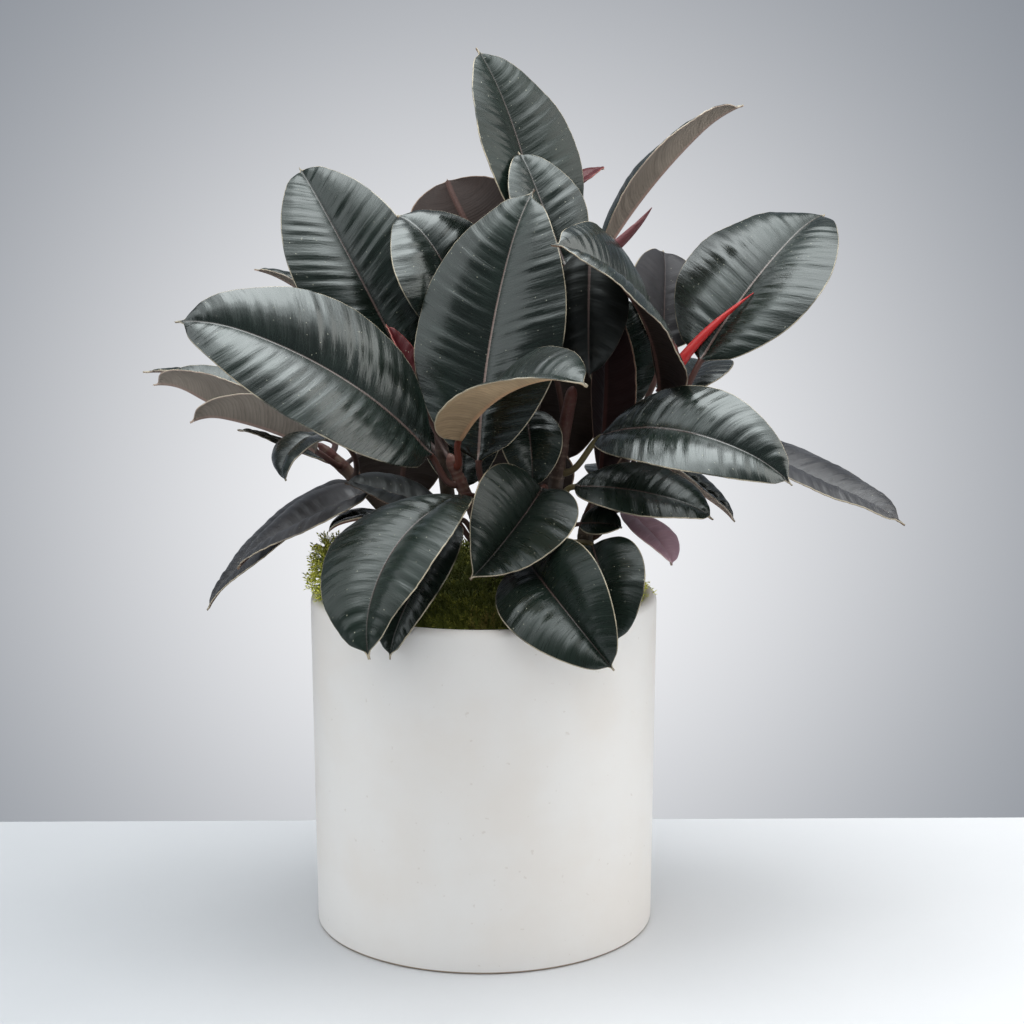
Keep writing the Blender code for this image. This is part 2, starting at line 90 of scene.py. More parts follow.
class Value:
    """A number that flows through a node tree, written with plain operators."""

    def __init__(self, book: "Book", socket: bpy.types.NodeSocket) -> None:
        """Wrap an output socket of a book's tree."""
        self.book, self.socket = book, socket

    __add__ = __radd__ = math_method("ADD")
    __sub__, __rsub__ = math_method("SUBTRACT"), math_method("SUBTRACT", True)
    __mul__ = __rmul__ = math_method("MULTIPLY")
    __truediv__ = math_method("DIVIDE")
    __pow__ = math_method("POWER")

    def __neg__(self) -> "Value":
        """Return the negative."""
        return self * -1.0

    def __abs__(self) -> "Value":
        """Return the size without its sign."""
        return self.book.math("ABSOLUTE", self)

    def sine(self) -> "Value":
        """Return the sine of an angle in radians."""
        return self.book.math("SINE", self)

    def step(self, low: float, high: float) -> "Value":
        """Return a smooth rise.

        Args:
            low: where it leaves 0.
            high: where it reaches 1.

        Returns:
            The rise, held at 0 and 1 outside.
        """
        made = self.book.node("ShaderNodeMapRange", {"Value": self, "From Min": low,
                                                     "From Max": high},
                              interpolation_type="SMOOTHSTEP")
        return Value(self.book, made.outputs["Result"])


Number = Union[float, Value]
Source = Union[float, Colour, Value, bpy.types.NodeSocket, bpy.types.ID, bool, int]


class Book:
    """A node tree that is filled through one method."""

    def __init__(self, tree: bpy.types.NodeTree) -> None:
        """Start with an empty tree."""
        self.tree = tree
        tree.nodes.clear()

    def node(self, kind: str, links: Optional[Dict[Union[str, int], Source]] = None,
             **settings: Union[str, float]) -> bpy.types.Node:
        """Add a node.

        Args:
            kind: the node's type.
            links: what each input socket gets, a value or the socket that feeds it.
            settings: the node's properties, set first.

        Returns:
            The new node.
        """
        made = self.tree.nodes.new(kind)
        for name, setting in settings.items():
            setattr(made, name, setting)
        for name, source in (links or {}).items():
            target = made.inputs[name]
            source = source.socket if isinstance(source, Value) else source
            if isinstance(source, bpy.types.NodeSocket):
                self.tree.links.new(source, target)
            else:
                target.default_value = (*source, 1.0) if target.type == "RGBA" else source
        return made

    def math(self, operation: str, *terms: Number) -> Value:
        """Return a Math node's result."""
        made = self.node("ShaderNodeMath", dict(enumerate(terms)), operation=operation)
        return Value(self, made.outputs[0])

    def place(self) -> bpy.types.NodeSocket:
        """Return the object coordinates, in metres."""
        return self.node("ShaderNodeTexCoord").outputs["Object"]

    def parts(self, vector: bpy.types.NodeSocket) -> Tuple[Value, ...]:
        """Return a vector's three numbers."""
        split = self.node("ShaderNodeSeparateXYZ", {0: vector})
        return tuple(Value(self, output) for output in split.outputs)

    def attribute(self, name: str) -> Tuple[Value, ...]:
        """Return the three numbers of a vector that the mesh carries."""
        return self.parts(self.node("ShaderNodeAttribute", attribute_name=name).outputs["Vector"])

    def point(self, x: Number, y: Number, z: Number) -> bpy.types.NodeSocket:
        """Return a vector made of three numbers."""
        return self.node("ShaderNodeCombineXYZ", {"X": x, "Y": y, "Z": z}).outputs[0]

    def noise(self, scale: float, detail: float, *at: Number) -> Value:
        """Return a soft noise.

        Args:
            scale: how many of its lumps lie on one unit.
            detail: how fine it gets.
            at: the three numbers that it is read at, or nothing for the object coordinates.

        Returns:
            The noise, from 0 to 1.
        """
        place = self.point(*at) if at else self.place()
        made = self.node("ShaderNodeTexNoise", {"Vector": place, "Scale": scale, "Detail": detail})
        return Value(self, made.outputs["Fac"])

    def coats(self, tone: Source, *coats: Tuple[Number, Source]) -> Source:
        """Lay coats of colour over a tone.

        Args:
            tone: the colour below.
            coats: how much of each coat shows, from 0 to 1, and its colour.

        Returns:
            The colour on top.
        """
        for factor, colour in coats:
            made = self.node("ShaderNodeMix", {0: factor, 6: tone, 7: colour}, data_type="RGBA")
            tone = made.outputs[2]
        return tone

    def surface(self, colour: Source, roughness: Number, relief: Optional[Value] = None,
                fixed: Optional[Dict[str, Source]] = None) -> None:
        """End a material's tree with its shader.

        Args:
            colour: the base colour.
            roughness: the roughness.
            relief: the height of the fine relief, in mm.
            fixed: other values that are the same all over.
        """
        links = {"Base Color": colour, "Roughness": roughness, **(fixed or {})}
        if relief is not None:
            bump = self.node("ShaderNodeBump", {"Height": relief, "Distance": MM})
            links["Normal"] = bump.outputs["Normal"]
        shader = self.node("ShaderNodeBsdfPrincipled", links)
        self.node("ShaderNodeOutputMaterial", {"Surface": shader.outputs["BSDF"]})


@dataclass(frozen=True)
class Finish:
    """What every finish shares: a name, a colour and how rough it is."""

    name: str
    colour: Colour
    roughness: float = 1.0

    def material(self) -> bpy.types.Material:
        """Give the finish's material, built when it is first asked for.

        Returns:
            The material.
        """
        found = bpy.data.materials.get(self.name)
        if found is None:
            found = bpy.data.materials.new(self.name)
            found.use_nodes = True
            self.paint(Book(found.node_tree))
        return found

    def paint(self, book: Book) -> None:
        """Fill the material's nodes."""
        raise NotImplementedError


@dataclass(frozen=True)
class GlazeFinish(Finish):
    """Matte off-white glaze, cloudy and with pinholes, and a bare clay foot."""

    warm: Colour = (0.873, 0.8316, 0.782)
    clay: Colour = (0.42, 0.33, 0.25)
    foot_top: float = 1.6 * MM

    def paint(self, book: Book) -> None:
        """Paint the glaze, its cloudy tone, its pinholes and the foot.

        Args:
            book: the material's nodes.
        """
        cloud, grain = book.noise(14.0, 4.0), book.noise(900.0, 2.0)
        pits = book.noise(260.0, 1.0).step(0.74, 0.8)
        foot = 1.0 - book.parts(book.place())[2].step(self.foot_top * 0.7, self.foot_top)
        tone = book.coats(self.colour, (cloud.step(0.35, 0.7), self.warm),
                          (pits * 0.18, self.clay), (foot, self.clay))
        book.surface(tone, self.roughness + cloud * 0.08 + foot * 0.3,
                     grain * 0.012 + cloud * 0.25 - pits * 0.02)


@dataclass(frozen=True)
class SoilFinish(Finish):
    """Dark crumbly potting soil."""

    fleck: Colour = (0.16, 0.11, 0.07)

    def paint(self, book: Book) -> None:
        """Paint crumbs and pale flecks.

        Args:
            book: the material's nodes.
        """
        crumbs = book.noise(420.0, 5.0)
        tone = book.coats(self.colour, (book.noise(700.0, 1.0).step(0.66, 0.72), self.fleck))
        book.surface(tone, self.roughness, crumbs * 1.2)


@dataclass(frozen=True)
class MossFinish(Finish):
    """Moss: bright yellow-green at the tips of its sprigs and dark olive at their foot in painted
    shade, with painted light on the mounds by the rim.
    """

    # the colour of the painted light on the mounds by the rim
    fresh: Colour = (0.306, 0.378, 0.0432)
    tip: Colour = (0.90, 0.90, 0.17)
    dry: Colour = (0.20, 0.14, 0.04)

    def paint(self, book: Book) -> None:
        """Paint the moss from its painted shade at the foot to the tip, with painted light on the
        mounds by the rim, paler patches and dry patches.

        Args:
            book: the material's nodes.
        """
        reach, fresh, _ = book.attribute("growth")
        patches = book.noise(55.0, 3.0).step(0.4, 0.7)
        # painted shade darkens each sprig towards its foot, and painted light brightens the mounds
        # by the rim
        bright = (reach ** 0.9) * (0.12 + patches * 0.30 + fresh)
        dry = book.noise(38.0, 2.0).step(0.56, 0.7) * (1.0 - fresh) * 0.6
        tone = book.coats(self.colour, (fresh * 0.8, self.fresh),
                          (bright.step(0.0, 1.0), self.tip), (dry, self.dry))
        book.surface(tone, self.roughness, book.noise(700.0, 2.0) * 0.3)


@dataclass(frozen=True)
class BarkFinish(Finish):
    """Brown bark, redder and smoother towards the young top, with pale corky dots and rings."""

    young: Colour = (0.085, 0.022, 0.016)
    cork: Colour = (0.17, 0.12, 0.085)

    def paint(self, book: Book) -> None:
        """Paint the bark by its height on the stem.

        Args:
            book: the material's nodes.
        """
        along, youth, ring = book.attribute("bark")
        grain = book.noise(260.0, 4.0)
        dots = book.noise(520.0, 1.0).step(0.66, 0.71)
        tone = book.coats(self.colour, (youth.step(0.3, 1.0), self.young),
                          (grain.step(0.45, 0.75) * 0.35, self.cork),
                          (dots * (1.0 - youth) * 0.8 + ring * 0.55, self.cork))
        lines = (along * 2.6 + grain * 5.0).sine()
        book.surface(tone, self.roughness + grain * 0.2 - youth * 0.12,
                     grain * 0.35 + dots * 0.15 + lines * 0.03)


@dataclass(frozen=True)
class BladeFinish(Finish):
    """The upper side of a leaf: dark and glossy, streaked along its side veins, sizes in mm."""

    bloom: Colour = (0.010, 0.020, 0.0145)
    rib: Colour = (0.27, 0.19, 0.165)
    dull_rib: Colour = (0.050, 0.030, 0.027)
    margin: Colour = (0.46, 0.40, 0.29)
    speck: Colour = (0.42, 0.42, 0.32)
    sheen: Colour = (0.945, 1.0, 0.985)
    index: float = 1.62
    rib_half: float = 0.95
    vein_gap: float = 2.3
    speck_gap: float = 7.2

    def paint(self, book: Book) -> None:
        """Paint the blade, its midrib, side veins, margin and pale specks.

        Args:
            book: the material's nodes.
        """
        across, along, edge = book.attribute("blade")
        share, pale, seed = book.attribute("trait")
        cloud = book.noise(24.0, 3.0)
        streak = book.noise(1.0, 4.5, across * 0.04, along * 0.17, seed)
        thread = book.noise(1.0, 3.0, across * 0.11, along * 1.3, seed)
        wander = book.noise(1.0, 2.0, across * 0.08, along * 0.2, seed)
        vein = ((along + wander * 4.0) * (2.0 * math.pi / self.vein_gap)).sine()
        jag = book.noise(1.0, 2.0, along * 0.9, seed, 0.0) - 0.5
        half = self.rib_half * (1.0 - share * 0.72)
        off_rib = (abs(across) + jag * 0.5 - half).step(-0.2, 0.35)
        worn = book.noise(1.0, 2.0, along * 0.06, across * 0.02, seed).step(0.28, 0.55)
        specks = self.specks(book, across + seed * 91.0, along)

        tone = book.coats(
            self.colour,
            (cloud.step(0.3, 0.75) * 0.6 + thread.step(0.45, 0.75) * 0.4, self.bloom),
            ((1.0 - off_rib) * (0.95 - share.step(0.2, 1.0) * 0.6),
             book.coats(self.dull_rib, (pale, self.rib))),
            ((1.0 - edge.step(0.3, 0.85)) * worn, self.margin), (specks * 0.85, self.speck))
        rough = self.roughness + (thread - 0.5) * 0.24 + (cloud - 0.5) * 0.14 + specks * 0.2
        relief = (streak * 0.36 + thread * 0.095 + vein * 0.012 + book.noise(1500.0, 2.0) * 0.008
                  + specks * 0.03)
        book.surface(tone, rough, relief, {"IOR": self.index, "Specular Tint": self.sheen})

    def specks(self, book: Book, x: Value, y: Value) -> Value:
        """Strew small pale specks over the blade.

        Args:
            book: the material's nodes.
            x: the place across the blade.
            y: the place along it.

        Returns:
            1 on a speck and 0 off it.
        """
        spots = book.node("ShaderNodeTexVoronoi", {"Vector": book.point(x, y, 0.0),
                                                   "Scale": 1.0 / self.speck_gap},
                          voronoi_dimensions="2D").outputs
        near = 1.0 - Value(book, spots["Distance"]).step(0.022, 0.056)
        chosen = book.parts(spots["Color"])[0].step(0.25, 0.8)
        return near * chosen * book.noise(32.0, 2.0).step(0.40, 0.62)


@dataclass(frozen=True)
class UnderFinish(Finish):
    """The dull underside of a leaf, with fine side veins, a paler keel and painted shade towards its
    base, sizes in mm.
    """

    keel: Colour = (0.34, 0.19, 0.15)
    margin: Colour = (0.50, 0.42, 0.30)
    vein_gap: float = 2.3

    def paint(self, book: Book) -> None:
        """Paint the underside, its side veins, keel and margin, and the painted shade towards its
        base.

        Args:
            book: the material's nodes.
        """
        across, along, edge = book.attribute("blade")
        share, _, seed = book.attribute("trait")
        cloud = book.noise(30.0, 3.0)
        thread = book.noise(1.0, 3.0, across * 0.11, along * 1.5, seed)
        wander = book.noise(1.0, 2.0, across * 0.08, along * 0.2, seed)
        vein = ((along + wander * 2.4) * (2.0 * math.pi / self.vein_gap)).sine()
        light, dark = (tuple(c * k for c in self.colour) for k in (1.3, 0.6))
        # darker side veins and threads, and a painted shade that darkens the underside towards the
        # leaf's base
        shade = (vein.step(0.35, 1.0) * 0.28 + thread.step(0.5, 0.75) * 0.4
                 + (1.0 - share.step(0.0, 0.6)) * 0.5)
        keel = (1.0 - abs(across).step(1.2, 2.2)) * (0.8 - share * 0.45)
        tone = book.coats(self.colour, (cloud.step(0.3, 0.7), light), (shade, dark),
                          (keel, self.keel), ((1.0 - edge.step(0.5, 1.2)) * 0.9, self.margin))
        book.surface(tone, self.roughness + cloud * 0.1, vein * 0.04 + thread * 0.12,
                     {"IOR": 1.25})


@dataclass(frozen=True)
class StalkFinish(Finish):
    """A smooth leaf stalk, darker towards the stem."""

    foot: Colour = (0.12, 0.05, 0.03)

    def paint(self, book: Book) -> None:
        """Paint the stalk from the blade down to the stem.

        Args:
            book: the material's nodes.
        """
        low = (-book.attribute("blade")[1]).step(8.0, 42.0)
        cloud = book.noise(120.0, 3.0)
        tone = book.coats(self.colour, (low * 0.65 + (cloud - 0.5) * 0.4, self.foot))
        book.surface(tone, self.roughness + cloud * 0.1,
                     book.noise(900.0, 2.0) * 0.06 + cloud * 0.15)


@dataclass(frozen=True)
class SheathFinish(Finish):
    """A red rolled sheath, paler along its crest and dark at its foot."""

    crest: Colour = (0.64, 0.11, 0.085)
    foot: Colour = (0.16, 0.02, 0.02)

    def paint(self, book: Book) -> None:
        """Paint the sheath along its length.

        Args:
            book: the material's nodes.
        """
        share, turn, _ = book.attribute("roll")
        streak = book.noise(1.0, 3.0, turn * 9.0, share * 2.0, 0.0)
        tone = book.coats(self.colour, (streak.step(0.5, 0.75) * 0.7, self.crest),
                          ((1.0 - share.step(0.02, 0.3)) * 0.8, self.foot))
        book.surface(tone, self.roughness + streak * 0.1,
                     streak * 0.25 + book.noise(800.0, 2.0) * 0.02)


@dataclass(frozen=True)
class TableFinish(Finish):
    """A pale table top with hardly any figure, a little darker at the left in painted shade and
    brighter at the right in painted light.
    """

    shade: Colour = (0.48, 0.494, 0.51)

    def paint(self, book: Book) -> None:
        """Paint the pale top, its faint cloudy figure and its painted light, which grows towards the
        right.

        Args:
            book: the material's nodes.
        """
        cloud = book.noise(3.0, 5.0)
        # painted light: brighter towards the right, with painted shade towards the left
        right = book.parts(book.place())[0].step(-0.5, 0.6)
        tone = book.coats(self.shade, (right + (cloud - 0.5) * 0.5, self.colour))
        book.surface(tone, self.roughness + cloud * 0.1)


@dataclass(frozen=True)
class BackdropFinish(Finish):
    """A plain grey-blue backdrop that glows with its own painted light, brightest about one spot."""

    spot: Point = (0.015, 3.4, -0.36)
    spread: float = 1.08
    outer: Colour = (0.196, 0.219, 0.255)

    def paint(self, book: Book) -> None:
        """Paint the backdrop's own soft light, falling off from the spot.

        Args:
            book: the material's nodes.
        """
        offset = book.node("ShaderNodeVectorMath", {0: book.place(), 1: self.spot},
                           operation="SUBTRACT")
        far = book.node("ShaderNodeVectorMath", {0: offset.outputs["Vector"]}, operation="LENGTH")
        away = Value(book, far.outputs["Value"]) / self.spread
        lit = book.math("EXPONENT", -(away * away))
        glow = book.node("ShaderNodeEmission",
                         {"Color": book.coats(self.outer, (lit, self.colour))})
        book.node("ShaderNodeOutputMaterial", {"Surface": glow.outputs["Emission"]})


class Blade(Enum):
    """The upper side of a leaf."""

    GREEN = BladeFinish("dark green blade", (0.0042, 0.0072, 0.0050), 0.27)
    SLEEK = BladeFinish("bright green blade", (0.0042, 0.0072, 0.0050), 0.26, index=1.80)
    DEEP = BladeFinish("deep green blade", (0.0085, 0.0130, 0.0095), 0.29, index=1.45)
    # a darker copy of the blade with dark margins, painted as shade for leaves that sit in shade
    BLACK = BladeFinish("nearly black blade", (0.0045, 0.0050, 0.0045), 0.40,
                        bloom=(0.009, 0.011, 0.009), margin=(0.06, 0.045, 0.035), index=1.40)
    # painted reflection: a pale grey base colour stands in for the backdrop's reflection at grazing
    # angles
    DUSKY = BladeFinish("dusky grey blade", (0.028, 0.028, 0.030), 0.38,
                        bloom=(0.080, 0.080, 0.084), sheen=(1.0, 1.0, 1.0), index=1.5)
    # a dimmer painted reflection of the same kind, in a grey base colour
    SMOKE = BladeFinish("smoky blade", (0.024, 0.023, 0.025), 0.48,
                        bloom=(0.050, 0.048, 0.052), sheen=(1.0, 1.0, 1.0), index=1.33)
    RED = BladeFinish("dark red young blade", (0.060, 0.006, 0.008), 0.42,
                      bloom=(0.11, 0.012, 0.016), dull_rib=(0.12, 0.02, 0.02),
                      margin=(0.30, 0.08, 0.07), sheen=(1.0, 0.85, 0.85), index=1.38)
    PURPLE = BladeFinish("purple young blade", (0.28, 0.145, 0.18), 0.48,
                         bloom=(0.46, 0.31, 0.36), dull_rib=(0.60, 0.42, 0.42),
                         margin=(0.50, 0.34, 0.34), sheen=(1.0, 0.9, 0.95), rib_half=1.3,
                         index=1.4)


class Under(Enum):
    """The underside of a leaf."""

    TAN = UnderFinish("tan underside", (0.45, 0.325, 0.20), 0.62, keel=(0.54, 0.31, 0.18))
    TAUPE = UnderFinish("taupe underside", (0.24, 0.205, 0.170), 0.55,
                        keel=(0.42, 0.27, 0.23), margin=(0.46, 0.36, 0.30))
    BROWN = UnderFinish("brown underside", (0.024, 0.015, 0.012), 0.60,
                        keel=(0.11, 0.055, 0.045), margin=(0.26, 0.18, 0.13))
    # a darker maroon painted as shade, for undersides that sit in shade
    MAROON = UnderFinish("maroon underside", (0.018, 0.0075, 0.0075), 0.60,
                         keel=(0.06, 0.022, 0.018), margin=(0.24, 0.15, 0.11))
    ROSE = UnderFinish("rose underside", (0.20, 0.075, 0.075), 0.5)


class Stalk(Enum):
    """The colour of a leaf stalk."""

    RUSSET = StalkFinish("russet stalk", (0.068, 0.025, 0.018), 0.45, foot=(0.038, 0.022, 0.015))
    ORANGE = StalkFinish("orange stalk", (0.16, 0.038, 0.022), 0.42, foot=(0.07, 0.026, 0.018))
    OLIVE = StalkFinish("olive stalk", (0.13, 0.105, 0.045), 0.45, foot=(0.085, 0.055, 0.025))


GLAZE = GlazeFinish("matte white glaze", (0.90, 0.88, 0.85), 0.56)
SOIL = SoilFinish("potting soil", (0.030, 0.019, 0.012), 0.95)
MOSS = MossFinish("green moss", (0.085, 0.105, 0.012), 0.85)
BARK = BarkFinish("brown bark", (0.044, 0.030, 0.020), 0.55)
RED_SHEATH = SheathFinish("bright red sheath", (0.46, 0.018, 0.018), 0.33)
ROSE_SHEATH = SheathFinish("rose sheath", (0.17, 0.055, 0.060), 0.40,
                           crest=(0.27, 0.13, 0.13), foot=(0.07, 0.025, 0.025))
TABLE = TableFinish("pale table top", (0.70, 0.705, 0.715), 0.5)
BACKDROP = BackdropFinish("grey backdrop", (0.93, 0.935, 0.955))


def rise(value: Array, low: float, high: float) -> Array:
    """Return a smooth rise from 0 at low to 1 at high, held at 0 and 1 outside."""
    share = np.clip((value - low) / (high - low), 0.0, 1.0)
    return share * share * (3.0 - 2.0 * share)


def hill(value: Array, center: float, spread: float) -> Array:
    """Return a smooth hill from 0 to 1 about a center."""
    return np.exp(-((value - center) / spread) ** 2)


def turned_hill(angle: Array, center: float, spread: float) -> Array:
    """Return a smooth hill from 0 to 1 about a direction, all in degrees."""
    return hill((angle - center + 180.0) % 360.0, 180.0, spread)


def unit(vector: Array) -> Array:
    """Return a vector, or each of an array of vectors, at length 1."""
    return vector / np.linalg.norm(vector, axis=-1, keepdims=True)


def spin(vector: Array, axis: Array, angle: Union[float, Array]) -> Array:
    """Return a vector turned about a square axis by an angle in radians."""
    return np.cos(angle) * vector + np.sin(angle) * np.cross(axis, vector)


def circle(count: int) -> Array:
    """Return the angles of some points round a circle, in radians."""
    return 2 * np.pi * np.arange(count) / count


def spokes(angles: Array, first: Array, second: Array) -> Array:
    """Return the directions at some angles between two axes, or between each pair of many."""
    return (np.cos(angles)[:, None] * first[..., None, :]
            + np.sin(angles)[:, None] * second[..., None, :])


def make_mesh(name: str, points: Array, faces: Faces, *finishes: Finish) -> bpy.types.Mesh:
    """Make a smooth mesh, in metres, from a closed skin in mm.

    Args:
        name: the mesh's name.
        points: its points in mm.
        faces: its faces of three or four points, all turned the same way.
        finishes: what it is finished in.

    Returns:
        The mesh, its faces pointing outwards.
    """
    volume = 0.0
    for size in (3, 4):
        chosen = np.array([face for face in faces if len(face) == size])
        for k in range(1, size - 1):
            a, b, c = (points[chosen[:, i]] for i in (0, k, k + 1))
            volume += np.sum(a * np.cross(b, c))
    mesh = bpy.data.meshes.new(name)
    mesh.from_pydata((points * MM).tolist(), [],
                     [face[::-1] for face in faces] if volume < 0.0 else faces)
    mesh.shade_smooth()
    for finish in finishes:
        mesh.materials.append(finish.material())
    return mesh


def make_skin(name: str, rings: Array, first: Array, last: Array,
              *finishes: Finish) -> bpy.types.Mesh:
    """Make a closed mesh from rings.

    Args:
        name: the mesh's name.
        rings: an array of rings in mm, each of the same number of points.
        first: the middle of the first ring's cap.
        last: the middle of the last ring's cap.
        finishes: what it is finished in.

    Returns:
        The mesh. Its two middles are its last points and the caps' faces its last faces.
    """
    rows, count = rings.shape[:2]
    start, here = (np.arange(rows - 1) * count)[:, None], np.arange(count)
    there = (here + 1) % count
    quads = np.stack([start + here, start + there, start + count + there, start + count + here], 2)
    faces = [tuple(face) for face in quads.reshape(-1, 4).tolist()]
    total = rows * count
    end = total - count
    faces += [(j, total, (j + 1) % count) for j in range(count)]
    faces += [(end + j, end + (j + 1) % count, total + 1) for j in range(count)]
    return make_mesh(name, np.concatenate([rings.reshape(-1, 3), [first, last]]), faces, *finishes)


def carry(mesh: bpy.types.Mesh, name: str, values: Array) -> None:
    """Store a vector for each point of a mesh, under a name that its material reads.

    Args:
        mesh: the mesh.
        name: the name.
        values: the vectors, which may leave out the middles of the first and last cap.
    """
    values = values.reshape(-1, 3)
    if len(values) < len(mesh.vertices):
        values = np.concatenate([values, values[[0, -1]]])
    layer = mesh.attributes.new(name, "FLOAT_VECTOR", "POINT")
    layer.data.foreach_set("vector", values.astype(np.float32).ravel())


def link(item: bpy.types.Object) -> bpy.types.Object:
    """Put an object into the scene."""
    bpy.context.scene.collection.objects.link(item)
    return item


def make_piece(mesh: bpy.types.Mesh, slot: str, *replaced: str) -> bpy.types.Object:
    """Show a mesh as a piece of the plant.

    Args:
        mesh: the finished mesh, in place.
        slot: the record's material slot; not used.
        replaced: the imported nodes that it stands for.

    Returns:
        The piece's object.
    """
    piece = link(bpy.data.objects.new(mesh.name, mesh))
    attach(piece, BODY)
    if replaced:
        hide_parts(*replaced)
    return piece


def catmull(points: Array, steps: int) -> Array:
    """Return a smooth curve through points.

    Args:
        points: the points that it passes.
        steps: the number of steps between two of them.

    Returns:
        The curve's points.
    """
    padded = np.concatenate([[2 * points[0] - points[1]], points, [2 * points[-1] - points[-2]]])
    share = np.linspace(0.0, 1.0, steps, endpoint=False)[:, None]
    runs = [0.5 * (2 * b + (c - a) * share + (2 * a - 5 * b + 4 * c - d) * share ** 2
                   + (3 * b - a - 3 * c + d) * share ** 3)
            for a, b, c, d in zip(padded, padded[1:], padded[2:], padded[3:])]
    return np.concatenate([*runs, points[-1:]])


def resample(curve: Array, pitch: float) -> Array:
    """Return a curve's points at an even pitch along it.

    Args:
        curve: the points, in mm.
        pitch: the wanted distance between two of them.

    Returns:
        The new points.
    """
    gone = np.concatenate([[0.0], np.cumsum(np.linalg.norm(np.diff(curve, axis=0), axis=1))])
    wanted = np.linspace(0.0, gone[-1], max(2, round(gone[-1] / pitch)) + 1)
    return np.stack([np.interp(wanted, gone, column) for column in curve.T], 1)


def square_axes(curve: Array) -> Tuple[Array, Array]:
    """Find two axes square to an upright curve at each of its points.

    Args:
        curve: the points.

    Returns:
        The first axes and the second ones.
    """
    ways = unit(np.gradient(curve, axis=0))
    sides = unit(np.cross(ways, NORTH))
    return sides, np.cross(sides, ways)


@dataclass(frozen=True)
class Stem:
    """A woody stem, from its root end up. Its centre line and radii are in mm."""

    name: str
    points: Tuple[Point, ...]
    root_radius: float
    top_radius: float

    SIDES: ClassVar[int] = 20
    PITCH: ClassVar[float] = 1.1
    CURVE_STEPS: ClassVar[int] = 24
    BUD_LENGTH: ClassVar[float] = 7.0
    SWELLING: ClassVar[float] = 0.55
    SWELLING_SPREAD: ClassVar[float] = 2.4
    SWELLING_MOST: ClassVar[float] = 0.8
    LUMPS: ClassVar[int] = 3
    LUMP_HEIGHT: ClassVar[float] = 0.03
    LUMP_TWIST: ClassVar[float] = 0.11
    SCAR_HEIGHT: ClassVar[float] = 0.28
    SCAR_OFFSET: ClassVar[float] = 3.4
    SCAR_SPREAD: ClassVar[float] = 0.6

    def youth(self, height: Union[float, Array]) -> Union[float, Array]:
        """Return 0 at a height in the soil, rising to 1 at the top."""
        foot, top = self.points[1][2], self.points[-1][2]
        return np.clip((height - foot) / (top - foot), 0.0, 1.0)

    def radius(self, height: Union[float, Array]) -> Union[float, Array]:
        """Return the radius at a height: full to the soil, then tapering to the top."""
        return self.root_radius + (self.top_radius - self.root_radius) * self.youth(height)

    def curve(self) -> Array:
        """Return the smooth centre line."""
        return catmull(np.array(self.points, float), self.CURVE_STEPS)

    def at(self, height: float) -> Tuple[Array, Array]:
        """Find a place on the stem.

        Args:
            height: its height.

        Returns:
            The centre there and the stem's direction.
        """
        line = self.curve()
        columns = np.hstack([line, unit(np.gradient(line, axis=0))]).T
        found = np.array([np.interp(height, line[:, 2], column) for column in columns])
        return found[:3], unit(found[3:])

    def build(self, nodes: Sequence[float]) -> bpy.types.Object:
        """Build the stem with a swelling and scars at each leaf.

        Args:
            nodes: the heights where leaves grow.

        Returns:
            The stem's piece.
        """
        line = resample(self.curve(), self.PITCH)
        height = line[:, 2]
        swell = sum(hill(height, node, self.SWELLING_SPREAD) for node in nodes)
        scars = np.minimum(1.0, sum(hill(height, node + offset, self.SCAR_SPREAD) for node in nodes
                                    for offset in (self.SCAR_OFFSET, -self.SCAR_OFFSET)))
        past_neck = ((height - height[-1] + self.BUD_LENGTH) / self.BUD_LENGTH).clip(0)
        bud = np.sqrt(np.clip(1.0 - past_neck ** 2, 0.02, 1.0))
        radius = (self.radius(height) + np.minimum(self.SWELLING * swell, self.SWELLING_MOST)
                  + self.SCAR_HEIGHT * scars) * bud
        angle = circle(self.SIDES)
        lumps = 1.0 + self.LUMP_HEIGHT * np.sin(self.LUMPS * angle
                                                + height[:, None] * self.LUMP_TWIST)
        rings = line[:, None] + (spokes(angle, *square_axes(line))
                                 * (radius[:, None] * lumps)[..., None])
        mesh = make_skin("bark_" + self.name, rings, line[0], line[-1], BARK)
        rows = np.stack([height, self.youth(height), scars], 1)
        carry(mesh, "bark", np.repeat(rows, self.SIDES, axis=0))
        return make_piece(mesh, "bark", self.name)


